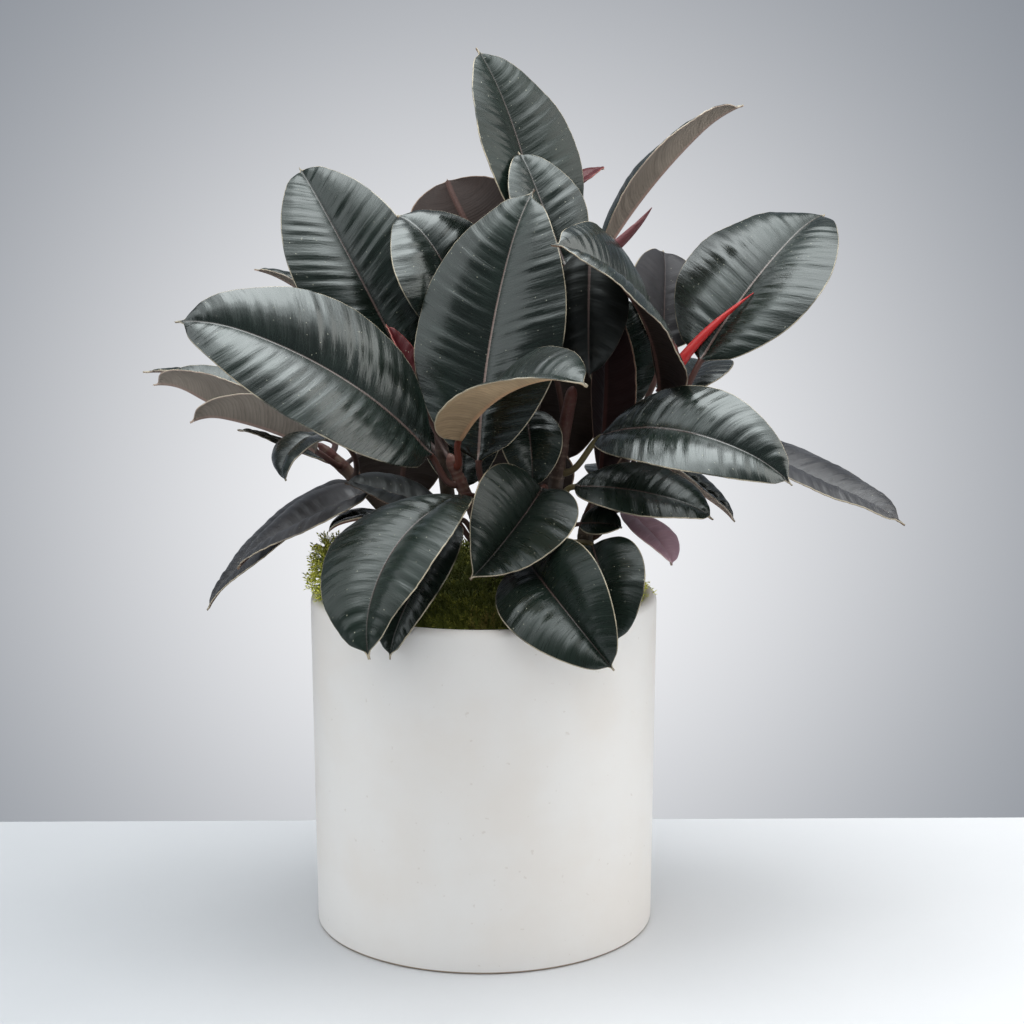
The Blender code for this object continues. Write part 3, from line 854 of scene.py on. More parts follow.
@dataclass(frozen=True)
class Leaf:
    """A leaf on its stalk. Lengths are in mm and angles in degrees.

    label is the stem's letter and the leaf's number, node the height on the stem where the
    stalk starts, base and tip are the ends of the blade. roll turns the face about the midrib,
    bow arches the blade, fold raises both halves, curl lowers their margins, hook bends the tip
    down, twist turns it and sweep bends it aside. rib is how pale the midrib is, from 0 to 1.
    """

    label: str
    node: float
    base: Point
    tip: Point
    width: float
    roll: float = 0.0
    bow: float = 20.0
    fold: float = 18.0
    curl: float = 12.0
    hook: float = 15.0
    twist: float = 0.0
    sweep: float = 0.0
    blade: Blade = Blade.GREEN
    under: Under = Under.BROWN
    stalk: Stalk = Stalk.RUSSET
    rib: float = 0.15

    STEPS: ClassVar[int] = 192
    ROW_PITCH: ClassVar[float] = 1.5
    BODY_END: ClassVar[float] = 0.965
    BODY_SKEW: ClassVar[float] = 0.92
    BODY_BLUNTNESS: ClassVar[float] = 0.66
    DRIP_WIDTH: ClassVar[float] = 0.10
    DRIP_SPAN: ClassVar[Tuple[float, float]] = (0.8, 0.92)
    LEAST_HALF: ClassVar[float] = 0.8
    POINT_START: ClassVar[float] = 0.93
    BLADE_START: ClassVar[float] = 0.045
    HOOK_START: ClassVar[float] = 0.72
    TWIST_REST: ClassVar[float] = 0.3
    VEIN_SLANT: ClassVar[float] = 0.42
    VEIN_CURVE: ClassVar[float] = 1.25
    HALF_THICK: ClassVar[float] = 0.42
    ROUNDING: ClassVar[float] = 0.4
    RIB_COLUMNS: ClassVar[Tuple[float, ...]] = (0.5, 1.1, 2.2)
    EDGE_COLUMNS: ClassVar[Tuple[float, ...]] = (1.4, 0.7, 0.25, 0.0)
    FIELD_COLUMNS: ClassVar[int] = 7
    NOMINAL_HALF: ClassVar[float] = 38.0
    NARROW: ClassVar[Tuple[float, float]] = (4.0, 12.0)
    GROWN_WIDTH: ClassVar[float] = 78.0
    GROOVE: ClassVar[Tuple[float, float]] = (0.5, 1.5)
    RIDGE: ClassVar[Tuple[float, float]] = (0.3, 0.55)
    KEEL_TAPER: ClassVar[float] = 0.72
    KEEL_SPREAD: ClassVar[float] = 1.9
    STALK_RADIUS: ClassVar[float] = 1.95
    STALK_PITCH: ClassVar[float] = 2.0
    STALK_SINK: ClassVar[float] = 0.6
    STALK_EDGE: ClassVar[float] = 9.0
    STALK_PULLS: ClassVar[Tuple[float, float]] = (0.4, 0.35)
    STALK_TAPER: ClassVar[float] = 0.16
    STALK_FLARE: ClassVar[float] = 0.35
    STALK_FOOT: ClassVar[float] = 0.82
    PILLOW: ClassVar[float] = 11.0
    LEAN_STEPS: ClassVar[int] = 64
    RIPPLES: ClassVar[Tuple[float, ...]] = (6.3, 7.9, 9.8, 13.0)
    RIPPLE_HEIGHT: ClassVar[float] = 0.16
    WAVES: ClassVar[Tuple[float, ...]] = (38.0, 61.0)
    WAVE_HEIGHT: ClassVar[float] = 0.5
    WAVED_WIDTH: ClassVar[float] = 90.0
    SEED_STEP: ClassVar[float] = 0.37

    def slimness(self) -> float:
        """Return how slim the leaf's stalk is, as a share of a grown leaf's."""
        return min(1.0, 0.5 + 0.5 * self.width / self.GROWN_WIDTH)

    def outline(self, share: Array) -> Array:
        """Give the blade's outline, with its drawn-out drip tip.

        Args:
            share: shares of the blade's length.

        Returns:
            The half width there, in mm.
        """
        body = np.sin(np.pi * np.minimum(1.0, share / self.BODY_END) ** self.BODY_SKEW)
        body = np.maximum(0.0, body) ** self.BODY_BLUNTNESS
        drip = (self.DRIP_WIDTH * rise(share, *self.DRIP_SPAN)
                * (1.0 - 0.75 * rise(share, self.DRIP_SPAN[1], 1.0)))
        half = 0.5 * self.width * np.hypot(body, drip) + self.LEAST_HALF
        return half * (1.0 - 0.8 * rise(share, self.POINT_START, 1.0))

    def midrib(self) -> Tuple[Array, Array, Array]:
        """Draw the midrib from the blade's base to its tip.

        Returns:
            The points, directions and face normals along it.
        """
        base, tip = np.array(self.base, float), np.array(self.tip, float)
        span = tip - base
        chord = unit(span)
        normal = spin(unit(UP - chord[2] * chord), chord, math.radians(self.roll))
        side = np.cross(normal, chord)
        share = np.linspace(0.0, 1.0, self.STEPS + 1)[:, None]
        pitch = np.radians(self.bow * (0.5 - share)
                           - self.hook * rise(share, self.HOOK_START, 1.0))
        yaw = np.radians(self.sweep * (0.5 - share))
        ways = np.cos(yaw) * (np.cos(pitch) * chord + np.sin(pitch) * normal) + np.sin(yaw) * side
        normals = np.cos(pitch) * normal - np.sin(pitch) * chord
        points = np.concatenate([np.zeros((1, 3)), np.cumsum(ways[:-1], axis=0)])
        turn = np.array(Vector(points[-1]).rotation_difference(Vector(span)).to_matrix()).T
        points = base + points @ turn * (np.linalg.norm(span) / np.linalg.norm(points[-1]))
        ways, normals = ways @ turn, normals @ turn
        normals = unit(normals - np.sum(normals * ways, axis=1, keepdims=True) * ways)
        turned = np.radians(self.twist * (share - self.TWIST_REST))
        return points, ways, spin(normals, ways, turned)

    def columns(self, half: Array) -> Array:
        """Space the blade's columns, close at the midrib and the margin.

        Args:
            half: the half widths in mm, an array whose last axis is the columns.

        Returns:
            Each column's place, from 0 at the midrib to 1 at the margin.
        """
        rib = [np.zeros_like(half[..., 0])] + [mm / half[..., 0] for mm in self.RIB_COLUMNS]
        edge = [1.0 - mm / half[..., -1] for mm in self.EDGE_COLUMNS]
        field = [rib[-1] + (edge[0] - rib[-1]) * k / (self.FIELD_COLUMNS + 1)
                 for k in range(1, self.FIELD_COLUMNS + 1)]
        wide = rise(half, *self.NARROW)
        return (np.linspace(0.0, 1.0, half.shape[-1]) * (1.0 - wide)
                + np.stack([*rib, *field, *edge], -1) * wide)

    def relief(self, random: np.random.Generator, along: Array, share: Array) -> Array:
        """Ripple one half of the blade.

        Args:
            random: the leaf's own random numbers.
            along: the distance along the blade of each point's side vein, in mm.
            share: each point's share of the way from midrib to margin.

        Returns:
            How far each point stands out of the plain form, in mm.
        """
        def waves(lengths: Sequence[float], low: float, high: float) -> Array:
            """Add waves along the blade, each of a random size and phase.

            Args:
                lengths: their lengths in mm.
                low: the least size.
                high: the greatest size.

            Returns:
                Their sum at each point.
            """
            total = np.zeros_like(along)
            for length in lengths:
                size, phase = random.uniform(low, high), random.uniform(0.0, 2.0 * np.pi)
                total += size * np.sin(2.0 * np.pi * along / length + phase)
            return total

        inner = rise(share, 0.0, 0.25) * (1.0 - 0.6 * rise(share, 0.7, 1.0))
        ripple = self.RIPPLE_HEIGHT * waves(self.RIPPLES, 0.5, 1.3) * inner
        return (ripple + self.WAVE_HEIGHT * (self.width / self.WAVED_WIDTH)
                * waves(self.WAVES, 0.4, 1.2) * share ** 2)

    def half_blade(self, sign: float, random: np.random.Generator, rows: Array,
                   length: float) -> Dict[str, Array]:
        """Shape one half of the blade, its rows laid along the side veins.

        Args:
            sign: 1 for the half on the face's side axis, -1 for the other.
            random: the leaf's own random numbers.
            rows: each row's share of the blade's length, at the midrib.
            length: the blade's length in mm.

        Returns:
            The upper and lower points and what the materials read, rows by columns.
        """
        count = 1 + len(self.RIB_COLUMNS) + self.FIELD_COLUMNS + len(self.EDGE_COLUMNS)
        nominal = self.columns(np.full(count, self.NOMINAL_HALF))
        share = rows[:, None] + (self.VEIN_SLANT * (rows * (1.0 - rows))[:, None]
                                 * nominal ** self.VEIN_CURVE)
        steps = np.linspace(0.0, 1.0, self.STEPS + 1)
        center, way, face = (np.stack([np.interp(share, steps, column) for column in line.T], -1)
                             for line in self.midrib())
        way, face = unit(way), unit(face)
        side = np.cross(face, way) * sign
        half = self.outline(share)
        out = self.columns(half)

        fine = np.linspace(0.0, 1.0, self.LEAN_STEPS + 1)
        lean = np.radians(self.fold - self.curl * rise(fine, 0.2, 0.8)
                          + self.PILLOW * np.cos(np.pi * fine))

        def run(part: Array) -> Array:
            """Return how far the lean carries each point along one axis, in mm."""
            gone = np.concatenate([[0.0], np.cumsum(0.5 * (part[1:] + part[:-1]))])
            return (np.interp(out, fine, gone / self.LEAN_STEPS) * half)[..., None]

        angle = np.interp(out, fine, lean)[..., None]
        normal = np.cos(angle) * face - np.sin(angle) * side
        along = rows[:, None] * length + np.zeros_like(share)
        middle = (center + run(np.cos(lean)) * side + run(np.sin(lean)) * face
                  + self.relief(random, along, out)[..., None] * normal)
        far, slim = out * half, self.slimness()
        edge = half - far
        thick = self.HALF_THICK * np.sqrt(1.0 - (1.0 - np.clip(edge / self.ROUNDING, 0, 1)) ** 2)
        sunk, raised = (most * hill(far, 0.0, spread)
                        for most, spread in (self.GROOVE, self.RIDGE))
        groove = slim * (sunk - raised)
        keel = (self.STALK_RADIUS * slim * (1.0 - self.KEEL_TAPER * share)
                * hill(far, 0.0, self.KEEL_SPREAD * slim))
        return {"upper": middle + (thick - groove)[..., None] * normal,
                "lower": middle - (thick + keel)[..., None] * normal,
                "across": far * sign, "along": along, "edge": edge, "share": share,
                "center": center, "face": face, "side": side * sign}

    def stalk_rings(self, stem: Stem, way: Array, face: Array,
                    angles: Array) -> Tuple[Array, Array]:
        """Lay the stalk's rings from the stem to the blade.

        Args:
            stem: the stem that the leaf grows on.
            way: the midrib's direction at the blade's base.
            face: the blade's face there.
            angles: where each point of a ring lies round the stalk, in radians.

        Returns:
            The rings and how far each is from the blade, in mm.
        """
        base = np.array(self.base, float)
        center, axis = stem.at(self.node)
        out = base - center
        out = unit(out - np.dot(out, axis) * axis)
        start = center + out * stem.radius(self.node) * self.STALK_SINK
        reach = np.linalg.norm(base - start)
        above, below = self.STALK_PULLS
        corners = np.array([base, base - above * reach * way, start + below * reach * out, start])
        count = max(4, round(reach / self.STALK_PITCH))
        shares = np.arange(1, count + 1) / count
        rings = []
        for b in shares:
            a = 1.0 - b
            point = np.array([a ** 3, 3 * a * a * b, 3 * a * b * b, b ** 3]) @ corners
            slope = unit(np.array([a * a, 2 * a * b, b * b]) @ (corners[:-1] - corners[1:]))
            face = unit(face - np.dot(face, slope) * slope)
            flare = 1.0 + self.STALK_TAPER * b + self.STALK_FLARE * rise(b, self.STALK_FOOT, 1.0)
            size = self.STALK_RADIUS * self.slimness() * flare
            rings.insert(0, point + size * spokes(angles, np.cross(face, slope), face))
        return np.array(rings), reach * shares[::-1]

    def build(self, stem: Stem, seed: int) -> bpy.types.Object:
        """Build the leaf with its stalk in one closed skin.

        Args:
            stem: the stem that it grows on.
            seed: the leaf's own number, for its ripples.

        Returns:
            The leaf's piece.
        """
        length = float(np.linalg.norm(np.subtract(self.tip, self.base)))
        rows = np.linspace(0.0, 1.0, max(24, round(length / self.ROW_PITCH)) + 1)
        random = np.random.default_rng(seed)
        right, left = (self.half_blade(sign, random, rows, length) for sign in (1.0, -1.0))

        def around(top: str, bottom: str) -> Array:
            """Return what each ring of the blade holds, over the top and back below."""
            return np.concatenate([left[top][:, ::-1], right[top][:, 1:],
                                   right[bottom][:, -2::-1], left[bottom][:, 1:-1]], axis=1)

        blade = around("upper", "lower")
        count = blade.shape[1]
        angles = np.pi - circle(count)
        center, face, side = (right[name][:, 0] for name in ("center", "face", "side"))
        flat = rise(rows, 0.0, self.BLADE_START)[:, None, None]
        blade = (center[:, None] + self.STALK_RADIUS * self.slimness()
                 * spokes(angles, side, face)) * (1.0 - flat) + blade * flat
        stalk, gone = self.stalk_rings(stem, unit(center[1] - center[0]), face[0], angles)
        rings = np.concatenate([stalk, blade])
        node = "leaf_" + self.label
        mesh = make_skin("fine_" + node, rings, stalk[0].mean(axis=0), blade[-1].mean(axis=0),
                         self.blade.value, self.under.value, self.stalk.value)

        low, high = np.zeros(stalk.shape[:2]), np.zeros(blade.shape[:2])
        number = seed * self.SEED_STEP
        across, along, edge, share = (around(key, key)
                                      for key in ("across", "along", "edge", "share"))
        for name, on_stalk, on_blade in (
                ("blade", (low, low - gone[:, None], low + self.STALK_EDGE), (across, along, edge)),
                ("trait", (low, low, low + number), (share, high + self.rib, high + number))):
            carry(mesh, name, np.concatenate([np.stack(on_stalk, -1), np.stack(on_blade, -1)]))
        finishes = np.zeros((len(rings) - 1, count), int)
        finishes[:, count // 2:] = 1
        finishes[:len(stalk) + 1] = 2
        mesh.polygons.foreach_set("material_index", [*finishes.ravel(), *np.repeat((2, 0), count)])
        return make_piece(mesh, SLOTS[node], node)


@dataclass(frozen=True)
class Sheath:
    """A rolled red sheath at a stem's end, drawn towards middle and ending at tip, in mm."""

    stem: str
    middle: Point
    tip: Point
    radius: float
    finish: SheathFinish

    GIRTHS: ClassVar[Tuple[Tuple[float, float], ...]] = (
        (0.0, 0.85), (0.12, 1.0), (0.35, 0.95), (0.6, 0.7), (0.82, 0.4), (1.0, 0.06))
    SIDES: ClassVar[int] = 28
    ROWS: ClassVar[int] = 48
    SEAM_DEPTH: ClassVar[float] = 0.10
    SEAM_TURN: ClassVar[float] = 1.4

    def build(self, stem: Stem) -> bpy.types.Object:
        """Build the sheath with the seam of its roll winding round it.

        Args:
            stem: the stem that it ends.

        Returns:
            The sheath's piece.
        """
        foot, middle, tip = (np.array(p, float) for p in (stem.points[-1], self.middle, self.tip))
        b = np.linspace(0.0, 1.0, self.ROWS + 1)[:, None]
        line = (1 - b) ** 2 * foot + 2 * (1 - b) * b * middle + b * b * tip
        angle = circle(self.SIDES)
        turn = (angle / (2 * np.pi) + self.SEAM_TURN * b) % 1.0
        size = (self.radius * np.interp(b, *zip(*self.GIRTHS))
                * (1.0 + self.SEAM_DEPTH * (turn - 0.5)))
        rings = line[:, None] + spokes(angle, *square_axes(line)) * size[..., None]
        node = "sheath_" + self.stem
        mesh = make_skin("rolled_" + node, rings, line[0], line[-1], self.finish)
        carry(mesh, "roll", np.stack([b + 0 * turn, turn, 0 * turn], -1))
        return make_piece(mesh, "sheath", node)


@dataclass(frozen=True)
class Pot:
    """The thick ceramic cylinder. Its sizes are in mm."""

    radius: float = 110.0
    base_radius: float = 108.4
    height: float = 214.0
    wall: float = 9.0
    floor: float = 11.0
    rim_round: float = 4.5
    foot_bevel: float = 1.8
    corner: float = 8.0
    sides: int = 180

    def profile(self) -> Array:
        """Draw half of the pot's section, from the middle of its base to that of its floor.

        Returns:
            The points, each a radius and a height in mm.
        """
        def arc(x: float, z: float, size: float, start: float, end: float, steps: int) -> Array:
            """Return an arc about a center, between two angles in degrees."""
            angle = np.radians(np.linspace(start, end, steps + 1))
            return np.stack([x + size * np.cos(angle), z + size * np.sin(angle)], 1)

        foot = arc(self.base_radius - self.foot_bevel, self.foot_bevel, self.foot_bevel, -90, 0, 5)
        rim = arc(self.radius - self.rim_round, self.height - self.rim_round, self.rim_round,
                  0, 180, 16)
        outside = foot[-1] + (rim[0] - foot[-1]) * np.linspace(0.0, 1.0, 13)[1:-1, None]
        low = arc(self.radius - self.wall - self.corner, self.floor + self.corner, self.corner,
                  0, -90, 6)
        return np.concatenate([[(0.0, 0.0)], foot, outside, rim, low, [(0.0, self.floor)]])

    def build(self) -> bpy.types.Object:
        """Build the pot as a finely turned form.

        Returns:
            The pot's piece.
        """
        profile = self.profile()[:, :, None, None]
        rings = profile[1:-1, 0] * spokes(circle(self.sides), EAST, NORTH) + profile[1:-1, 1] * UP
        mesh = make_skin("turned_pot", rings, 0.0 * UP, self.floor * UP, GLAZE)
        return make_piece(mesh, "ceramic", "pot")


@dataclass(frozen=True)
class MossBed:
    """The moss: a lumpy cushion that swells over the rim, with sprigs all over it, in mm.

    Each of the mounds and laps is a height or reach, a direction and a spread in degrees.
    """

    side: float = 100.2
    bottom: float = 190.3
    rim_top: float = 214.3
    edge: float = 207.0
    dome: float = 20.0
    lump: float = 1.6
    mounds: Tuple[Point, ...] = ((33, 176, 36), (13, 26, 28), (14, 90, 60))
    laps: Tuple[Point, ...] = ((4.5, 176, 34), (1.0, 30, 20))
    lap_start: float = 0.4
    full_radius: float = 101.0
    wave: float = 2.2
    wave_turns: Tuple[float, float] = (5, 1.3)
    wave_reach: Tuple[float, float] = (0.09, 0.13)
    shoulder_drop: float = 6.0
    lip_height: float = 0.8
    lip_round: float = 1.5
    sprig_drop: float = 5.0
    # where painted light brightens the moss: directions with spreads in degrees, and the reach over
    # which it rises
    moss_light_ways: Tuple[Tuple[float, float], ...] = ((178, 45), (8, 40))
    moss_light_reach: Tuple[float, float] = (60.0, 95.0)
    sides: int = 144
    top_rows: int = 34
    wall_rows: int = 3
    sprig_spacing: float = 2.9
    sprig_length: float = 8.5
    sprig_radius: float = 0.42
    sprig_lean: float = 0.55
    sprig_kinds: int = 4
    leaflets: int = 9
    seed: int = 7

    LEAFLET: ClassVar[Tuple[Point, ...]] = (
        (0, 0, 0), (0.45, 0.62, 0), (0.45, -0.62, 0), (1, 0, 0.6), (0.4, 0, 0.3))
    LEAFLET_FACES: ClassVar[Tuple[Tuple[int, ...], ...]] = (
        (0, 2, 4), (0, 4, 1), (1, 4, 3), (2, 3, 4), (0, 1, 2), (1, 3, 2))
    LEAFLET_TURN: ClassVar[float] = 2.4

    def height(self, radius: Array, angle: Array) -> Array:
        """Give the cushion's form.

        Args:
            radius: distances from the pot's axis.
            angle: directions from it, in degrees.

        Returns:
            The height there.
        """
        share = radius / self.full_radius
        rising = sum(most * turned_hill(angle, way, spread) for most, way, spread in self.mounds)
        turn = np.radians(angle)
        turns, reach = self.wave_turns, self.wave_reach
        lumps = np.sin(turns[0] * turn + radius * reach[0]) * np.cos(radius * reach[1]
                                                                     + turns[1] * turn)
        return (self.edge + self.dome * (1.0 - share ** 2) + share ** 2 * rising
                + self.wave * lumps * np.minimum(1.0, 2.0 * share))

    def rings(self) -> Array:
        """Draw the cushion from its foot over its lip to its middle.

        Returns:
            The rings of points in mm.
        """
        angle = 360.0 * np.arange(self.sides) / self.sides
        edge = self.height(self.side, angle)
        over = sum(most * np.maximum(0.0, (turned_hill(angle, way, spread) - self.lap_start)
                                     / (1.0 - self.lap_start)) for most, way, spread in self.laps)
        shoulder = np.minimum(edge - self.shoulder_drop, self.rim_top)
        lip = shoulder + self.lip_height
        side = self.side + 0 * angle
        rings = [(side, self.bottom + 0 * angle), (side, shoulder), (side + over, lip)]
        for turn in 0.5 * np.pi * np.array((0.25, 0.5, 0.75, 1.0)):
            rings.append((side + over - (0.3 * over + self.lip_round) * (1.0 - math.cos(turn)),
                          lip + (edge - lip) * math.sin(turn)))
        for share in np.linspace(1.0, 0.02, self.top_rows)[1:]:
            radius = (side + 0.7 * over - self.lip_round) * share
            rings.append((radius, self.height(np.minimum(radius, self.side), angle)))
        ways = spokes(np.radians(angle), EAST, NORTH)
        return np.array([r[:, None] * ways + z[:, None] * UP for r, z in rings])

    def build(self) -> List[bpy.types.Object]:
        """Build the cushion and the sprigs that grow on it.

        Returns:
            Their pieces.
        """
        rings = self.rings()
        for ring in rings[self.wall_rows:]:
            for point in ring:
                point[2] += noise.fractal(Vector(point) * 0.11, 0.9, 2.1, 3) * self.lump
        mesh = make_skin("moss_cushion", rings, self.bottom * UP, rings[-1].mean(axis=0), MOSS)
        points = self.points(mesh)
        # painted light on the mounds by the rim
        fresh = self.moss_lightness(points)
        grows = points[:, 2] > self.rim_top - self.sprig_drop
        grows[:self.wall_rows * self.sides] = False
        # the cushion is painted as a quarter of the way up a sprig, dark in the same painted shade
        carry(mesh, "growth", np.stack([0.25 + 0 * fresh, fresh, grows], 1))
        cushion = make_piece(mesh, "moss", "moss")
        return [cushion, self.grow(cushion)]

    @staticmethod
    def points(mesh: bpy.types.Mesh) -> Array:
        """Read a mesh's points.

        Args:
            mesh: the mesh, in metres.

        Returns:
            The points in mm.
        """
        places = np.zeros(len(mesh.vertices) * 3, np.float32)
        mesh.vertices.foreach_get("co", places)
        return places.reshape(-1, 3) / MM

    def moss_lightness(self, points: Array) -> Array:
        """Find how much painted light brightens the moss: most on the two mounds by the rim, least
        in the middle.

        Args:
            points: places on the moss in mm.

        Returns:
            The share of painted light there, from 0 to 1.
        """
        angle = np.degrees(np.arctan2(points[:, 1], points[:, 0]))
        sides = sum(turned_hill(angle, way, spread) for way, spread in self.moss_light_ways)
        outer = rise(np.hypot(points[:, 0], points[:, 1]), *self.moss_light_reach)
        return np.clip(sides * outer, 0.0, 1.0)

    def sprig(self, kind: int) -> bpy.types.Object:
        """Make one sprig: a thin curved stem with small pointed leaflets round it.

        Args:
            kind: its number among the kinds.

        Returns:
            The sprig's object.
        """
        random = np.random.default_rng(self.seed + kind)
        bend = random.uniform(1.0, 2.6)

        def center(share: float) -> Array:
            """Return a point on the sprig's stem."""
            return np.array((bend * share ** 2, 0.0, self.sprig_length * share))

        reach = [row / 3 for row in range(4) for _ in range(3)]
        points = [center(share) + self.sprig_radius * (1.0 - 0.8 * share) * spoke
                  for share, spoke in zip(reach, [*spokes(circle(3), EAST, NORTH)] * 4)]
        faces = [(row + j, row + (j + 1) % 3, row + 3 + (j + 1) % 3, row + 3 + j)
                 for row in (0, 3, 6) for j in range(3)]
        faces += [(2, 1, 0), (9, 10, 11)]
        for leaf in range(self.leaflets):
            share = 0.22 + 0.74 * leaf / (self.leaflets - 1)
            turn = self.LEAFLET_TURN * leaf + random.uniform(-0.4, 0.4)
            out = unit(np.array((math.cos(turn), math.sin(turn), random.uniform(0.5, 1.1))))
            side = unit(np.cross(out, UP))
            back = np.cross(side, out)
            size = (4.2 - 2.0 * share) * random.uniform(0.8, 1.15)
            first = len(points)
            points += [center(share) + out * size * far + side * aside + back * raised
                       for far, aside, raised in self.LEAFLET]
            reach += [share * 0.8, share, share, min(1.0, share + 0.25), share]
            faces += [tuple(first + i for i in face) for face in self.LEAFLET_FACES]
        mesh = make_mesh("sprig", np.array(points), faces, MOSS)
        layer = mesh.attributes.new("reach", "FLOAT", "POINT")
        layer.data.foreach_set("value", np.array(reach, np.float32))
        return bpy.data.objects.new(f"sprig_{kind}", mesh)

    def grow(self, cushion: bpy.types.Object) -> bpy.types.Object:
        """Cover the cushion with sprigs, by a Geometry Nodes tree that becomes a plain mesh.

        Args:
            cushion: the finished cushion.

        Returns:
            The sprigs' piece.
        """
        kinds = bpy.data.collections.new("sprig kinds")
        for kind in range(self.sprig_kinds):
            kinds.objects.link(self.sprig(kind))
        host = link(bpy.data.objects.new("sprig_host", cushion.data))
        modifier = host.modifiers.new("sprigs", "NODES")
        modifier.node_group, inputs = self.sprig_tree(kinds)
        modifier[inputs["Spacing"]] = self.sprig_spacing * MM
        modifier[inputs["Lean"]] = self.sprig_lean
        modifier[inputs["Seed"]] = self.seed
        grown = host.evaluated_get(bpy.context.evaluated_depsgraph_get())
        mesh = bpy.data.meshes.new_from_object(grown)
        mesh.name = "moss_sprigs"
        for item in (host, *kinds.objects):
            bpy.data.objects.remove(item, do_unlink=True)
        bpy.data.collections.remove(kinds)
        reach = np.zeros(len(mesh.vertices), np.float32)
        mesh.attributes["reach"].data.foreach_get("value", reach)
        if "growth" in mesh.attributes:
            mesh.attributes.remove(mesh.attributes["growth"])
        carry(mesh, "growth", np.stack([reach, self.moss_lightness(self.points(mesh)), 0 * reach], 1))
        return make_piece(mesh, "moss")

    @staticmethod
    def sprig_tree(kinds: bpy.types.Collection) -> Tuple[bpy.types.NodeTree, Dict[str, str]]:
        """Build the tree that scatters sprigs over the part of a mesh that grows them.

        Args:
            kinds: the sprigs to pick from.

        Returns:
            The tree and the identifiers of its inputs by name.
        """
        tree = bpy.data.node_groups.new("moss sprigs", "GeometryNodeTree")
        book = Book(tree)
        inputs = {name: tree.interface.new_socket(name, in_out="INPUT", socket_type=kind).identifier
                  for name, kind in (("Geometry", "NodeSocketGeometry"),
                                     ("Spacing", "NodeSocketFloat"), ("Lean", "NodeSocketFloat"),
                                     ("Seed", "NodeSocketInt"))}
        tree.interface.new_socket("Geometry", in_out="OUTPUT", socket_type="NodeSocketGeometry")
        given = book.node("NodeGroupInput").outputs
        growth = book.node("GeometryNodeInputNamedAttribute", {"Name": "growth"},
                           data_type="FLOAT_VECTOR")
        chosen = book.node("FunctionNodeCompare",
                           {0: book.parts(growth.outputs["Attribute"])[2], 1: 0.5},
                           operation="GREATER_THAN")
        spots = book.node("GeometryNodeDistributePointsOnFaces",
                          {"Mesh": given["Geometry"], "Selection": chosen.outputs["Result"],
                           "Distance Min": given["Spacing"], "Density Max": 300000.0,
                           "Seed": given["Seed"]}, distribute_method="POISSON")
        leans = book.node("FunctionNodeRandomValue",
                          {0: (-1.0, -1.0, -6.0), 1: (1.0, 1.0, 6.0), "Seed": given["Seed"]},
                          data_type="FLOAT_VECTOR")
        limits = book.point(given["Lean"], given["Lean"], 1.0)
        leaned = book.node("ShaderNodeVectorMath", {0: leans.outputs[0], 1: limits},
                           operation="MULTIPLY")
        euler = book.node("FunctionNodeEulerToRotation", {0: leaned.outputs[0]})
        pose = book.node("FunctionNodeRotateRotation",
                         {0: spots.outputs["Rotation"], 1: euler.outputs[0]},
                         rotation_space="LOCAL")
        sizes = book.node("FunctionNodeRandomValue", {2: 0.6, 3: 1.15, "Seed": given["Seed"]},
                          data_type="FLOAT")
        sprigs = book.node("GeometryNodeCollectionInfo",
                           {"Collection": kinds, "Separate Children": True,
                            "Reset Children": True})
        placed = book.node("GeometryNodeInstanceOnPoints",
                           {"Points": spots.outputs["Points"],
                            "Instance": sprigs.outputs["Instances"], "Pick Instance": True,
                            "Rotation": pose.outputs[0], "Scale": sizes.outputs[1]})
        plain = book.node("GeometryNodeRealizeInstances",
                          {"Geometry": placed.outputs["Instances"]})
        dressed = book.node("GeometryNodeSetMaterial",
                            {"Geometry": plain.outputs["Geometry"], "Material": MOSS.material()})
        book.node("NodeGroupOutput", {"Geometry": dressed.outputs["Geometry"]})
        return tree, inputs


class Light(Enum):
    """The studio's soft lights: place and aim in metres, size in metres, power in watts, tint."""

    LEFT = ((-1.60, -0.20, 1.15), (0.0, 0.0, 0.25), (1.6, 1.6), 11.0, (0.95, 0.98, 1.0))
    RIGHT = ((1.60, -0.10, 1.15), (0.0, 0.0, 0.25), (1.6, 1.6), 17.0, (1.0, 0.985, 0.96))
    WIDE = ((0.0, -0.15, 2.00), (0.0, -0.15, 0.30), (3.3, 3.3), 17.0, (0.955, 0.985, 1.0))
    TOP = ((0.0, 0.05, 1.98), (0.0, 0.05, 0.30), (2.3, 2.1), 29.0, (0.955, 0.985, 1.0))
    CORE = ((0.0, 0.15, 1.96), (0.0, 0.15, 0.30), (1.3, 1.2), 14.0, (0.955, 0.985, 1.0))
    FRONT = ((-0.20, -1.60, 1.30), (0.0, 0.0, 0.20), (1.8, 1.0), 8.0, (1.0, 0.985, 0.965))

    def hang(self) -> None:
        """Hang the light and aim it."""
        place, aim, size, power, tint = self.value
        lamp = bpy.data.lights.new(self.name.lower() + "_light", "AREA")
        lamp.shape = "RECTANGLE"
        lamp.size, lamp.size_y = size
        lamp.energy, lamp.color = power, tint
        item = link(bpy.data.objects.new(lamp.name, lamp))
        item.location = place
        item.rotation_euler = (Vector(aim) - Vector(place)).to_track_quat("-Z", "Y").to_euler()
        item.visible_glossy = self is not Light.FRONT


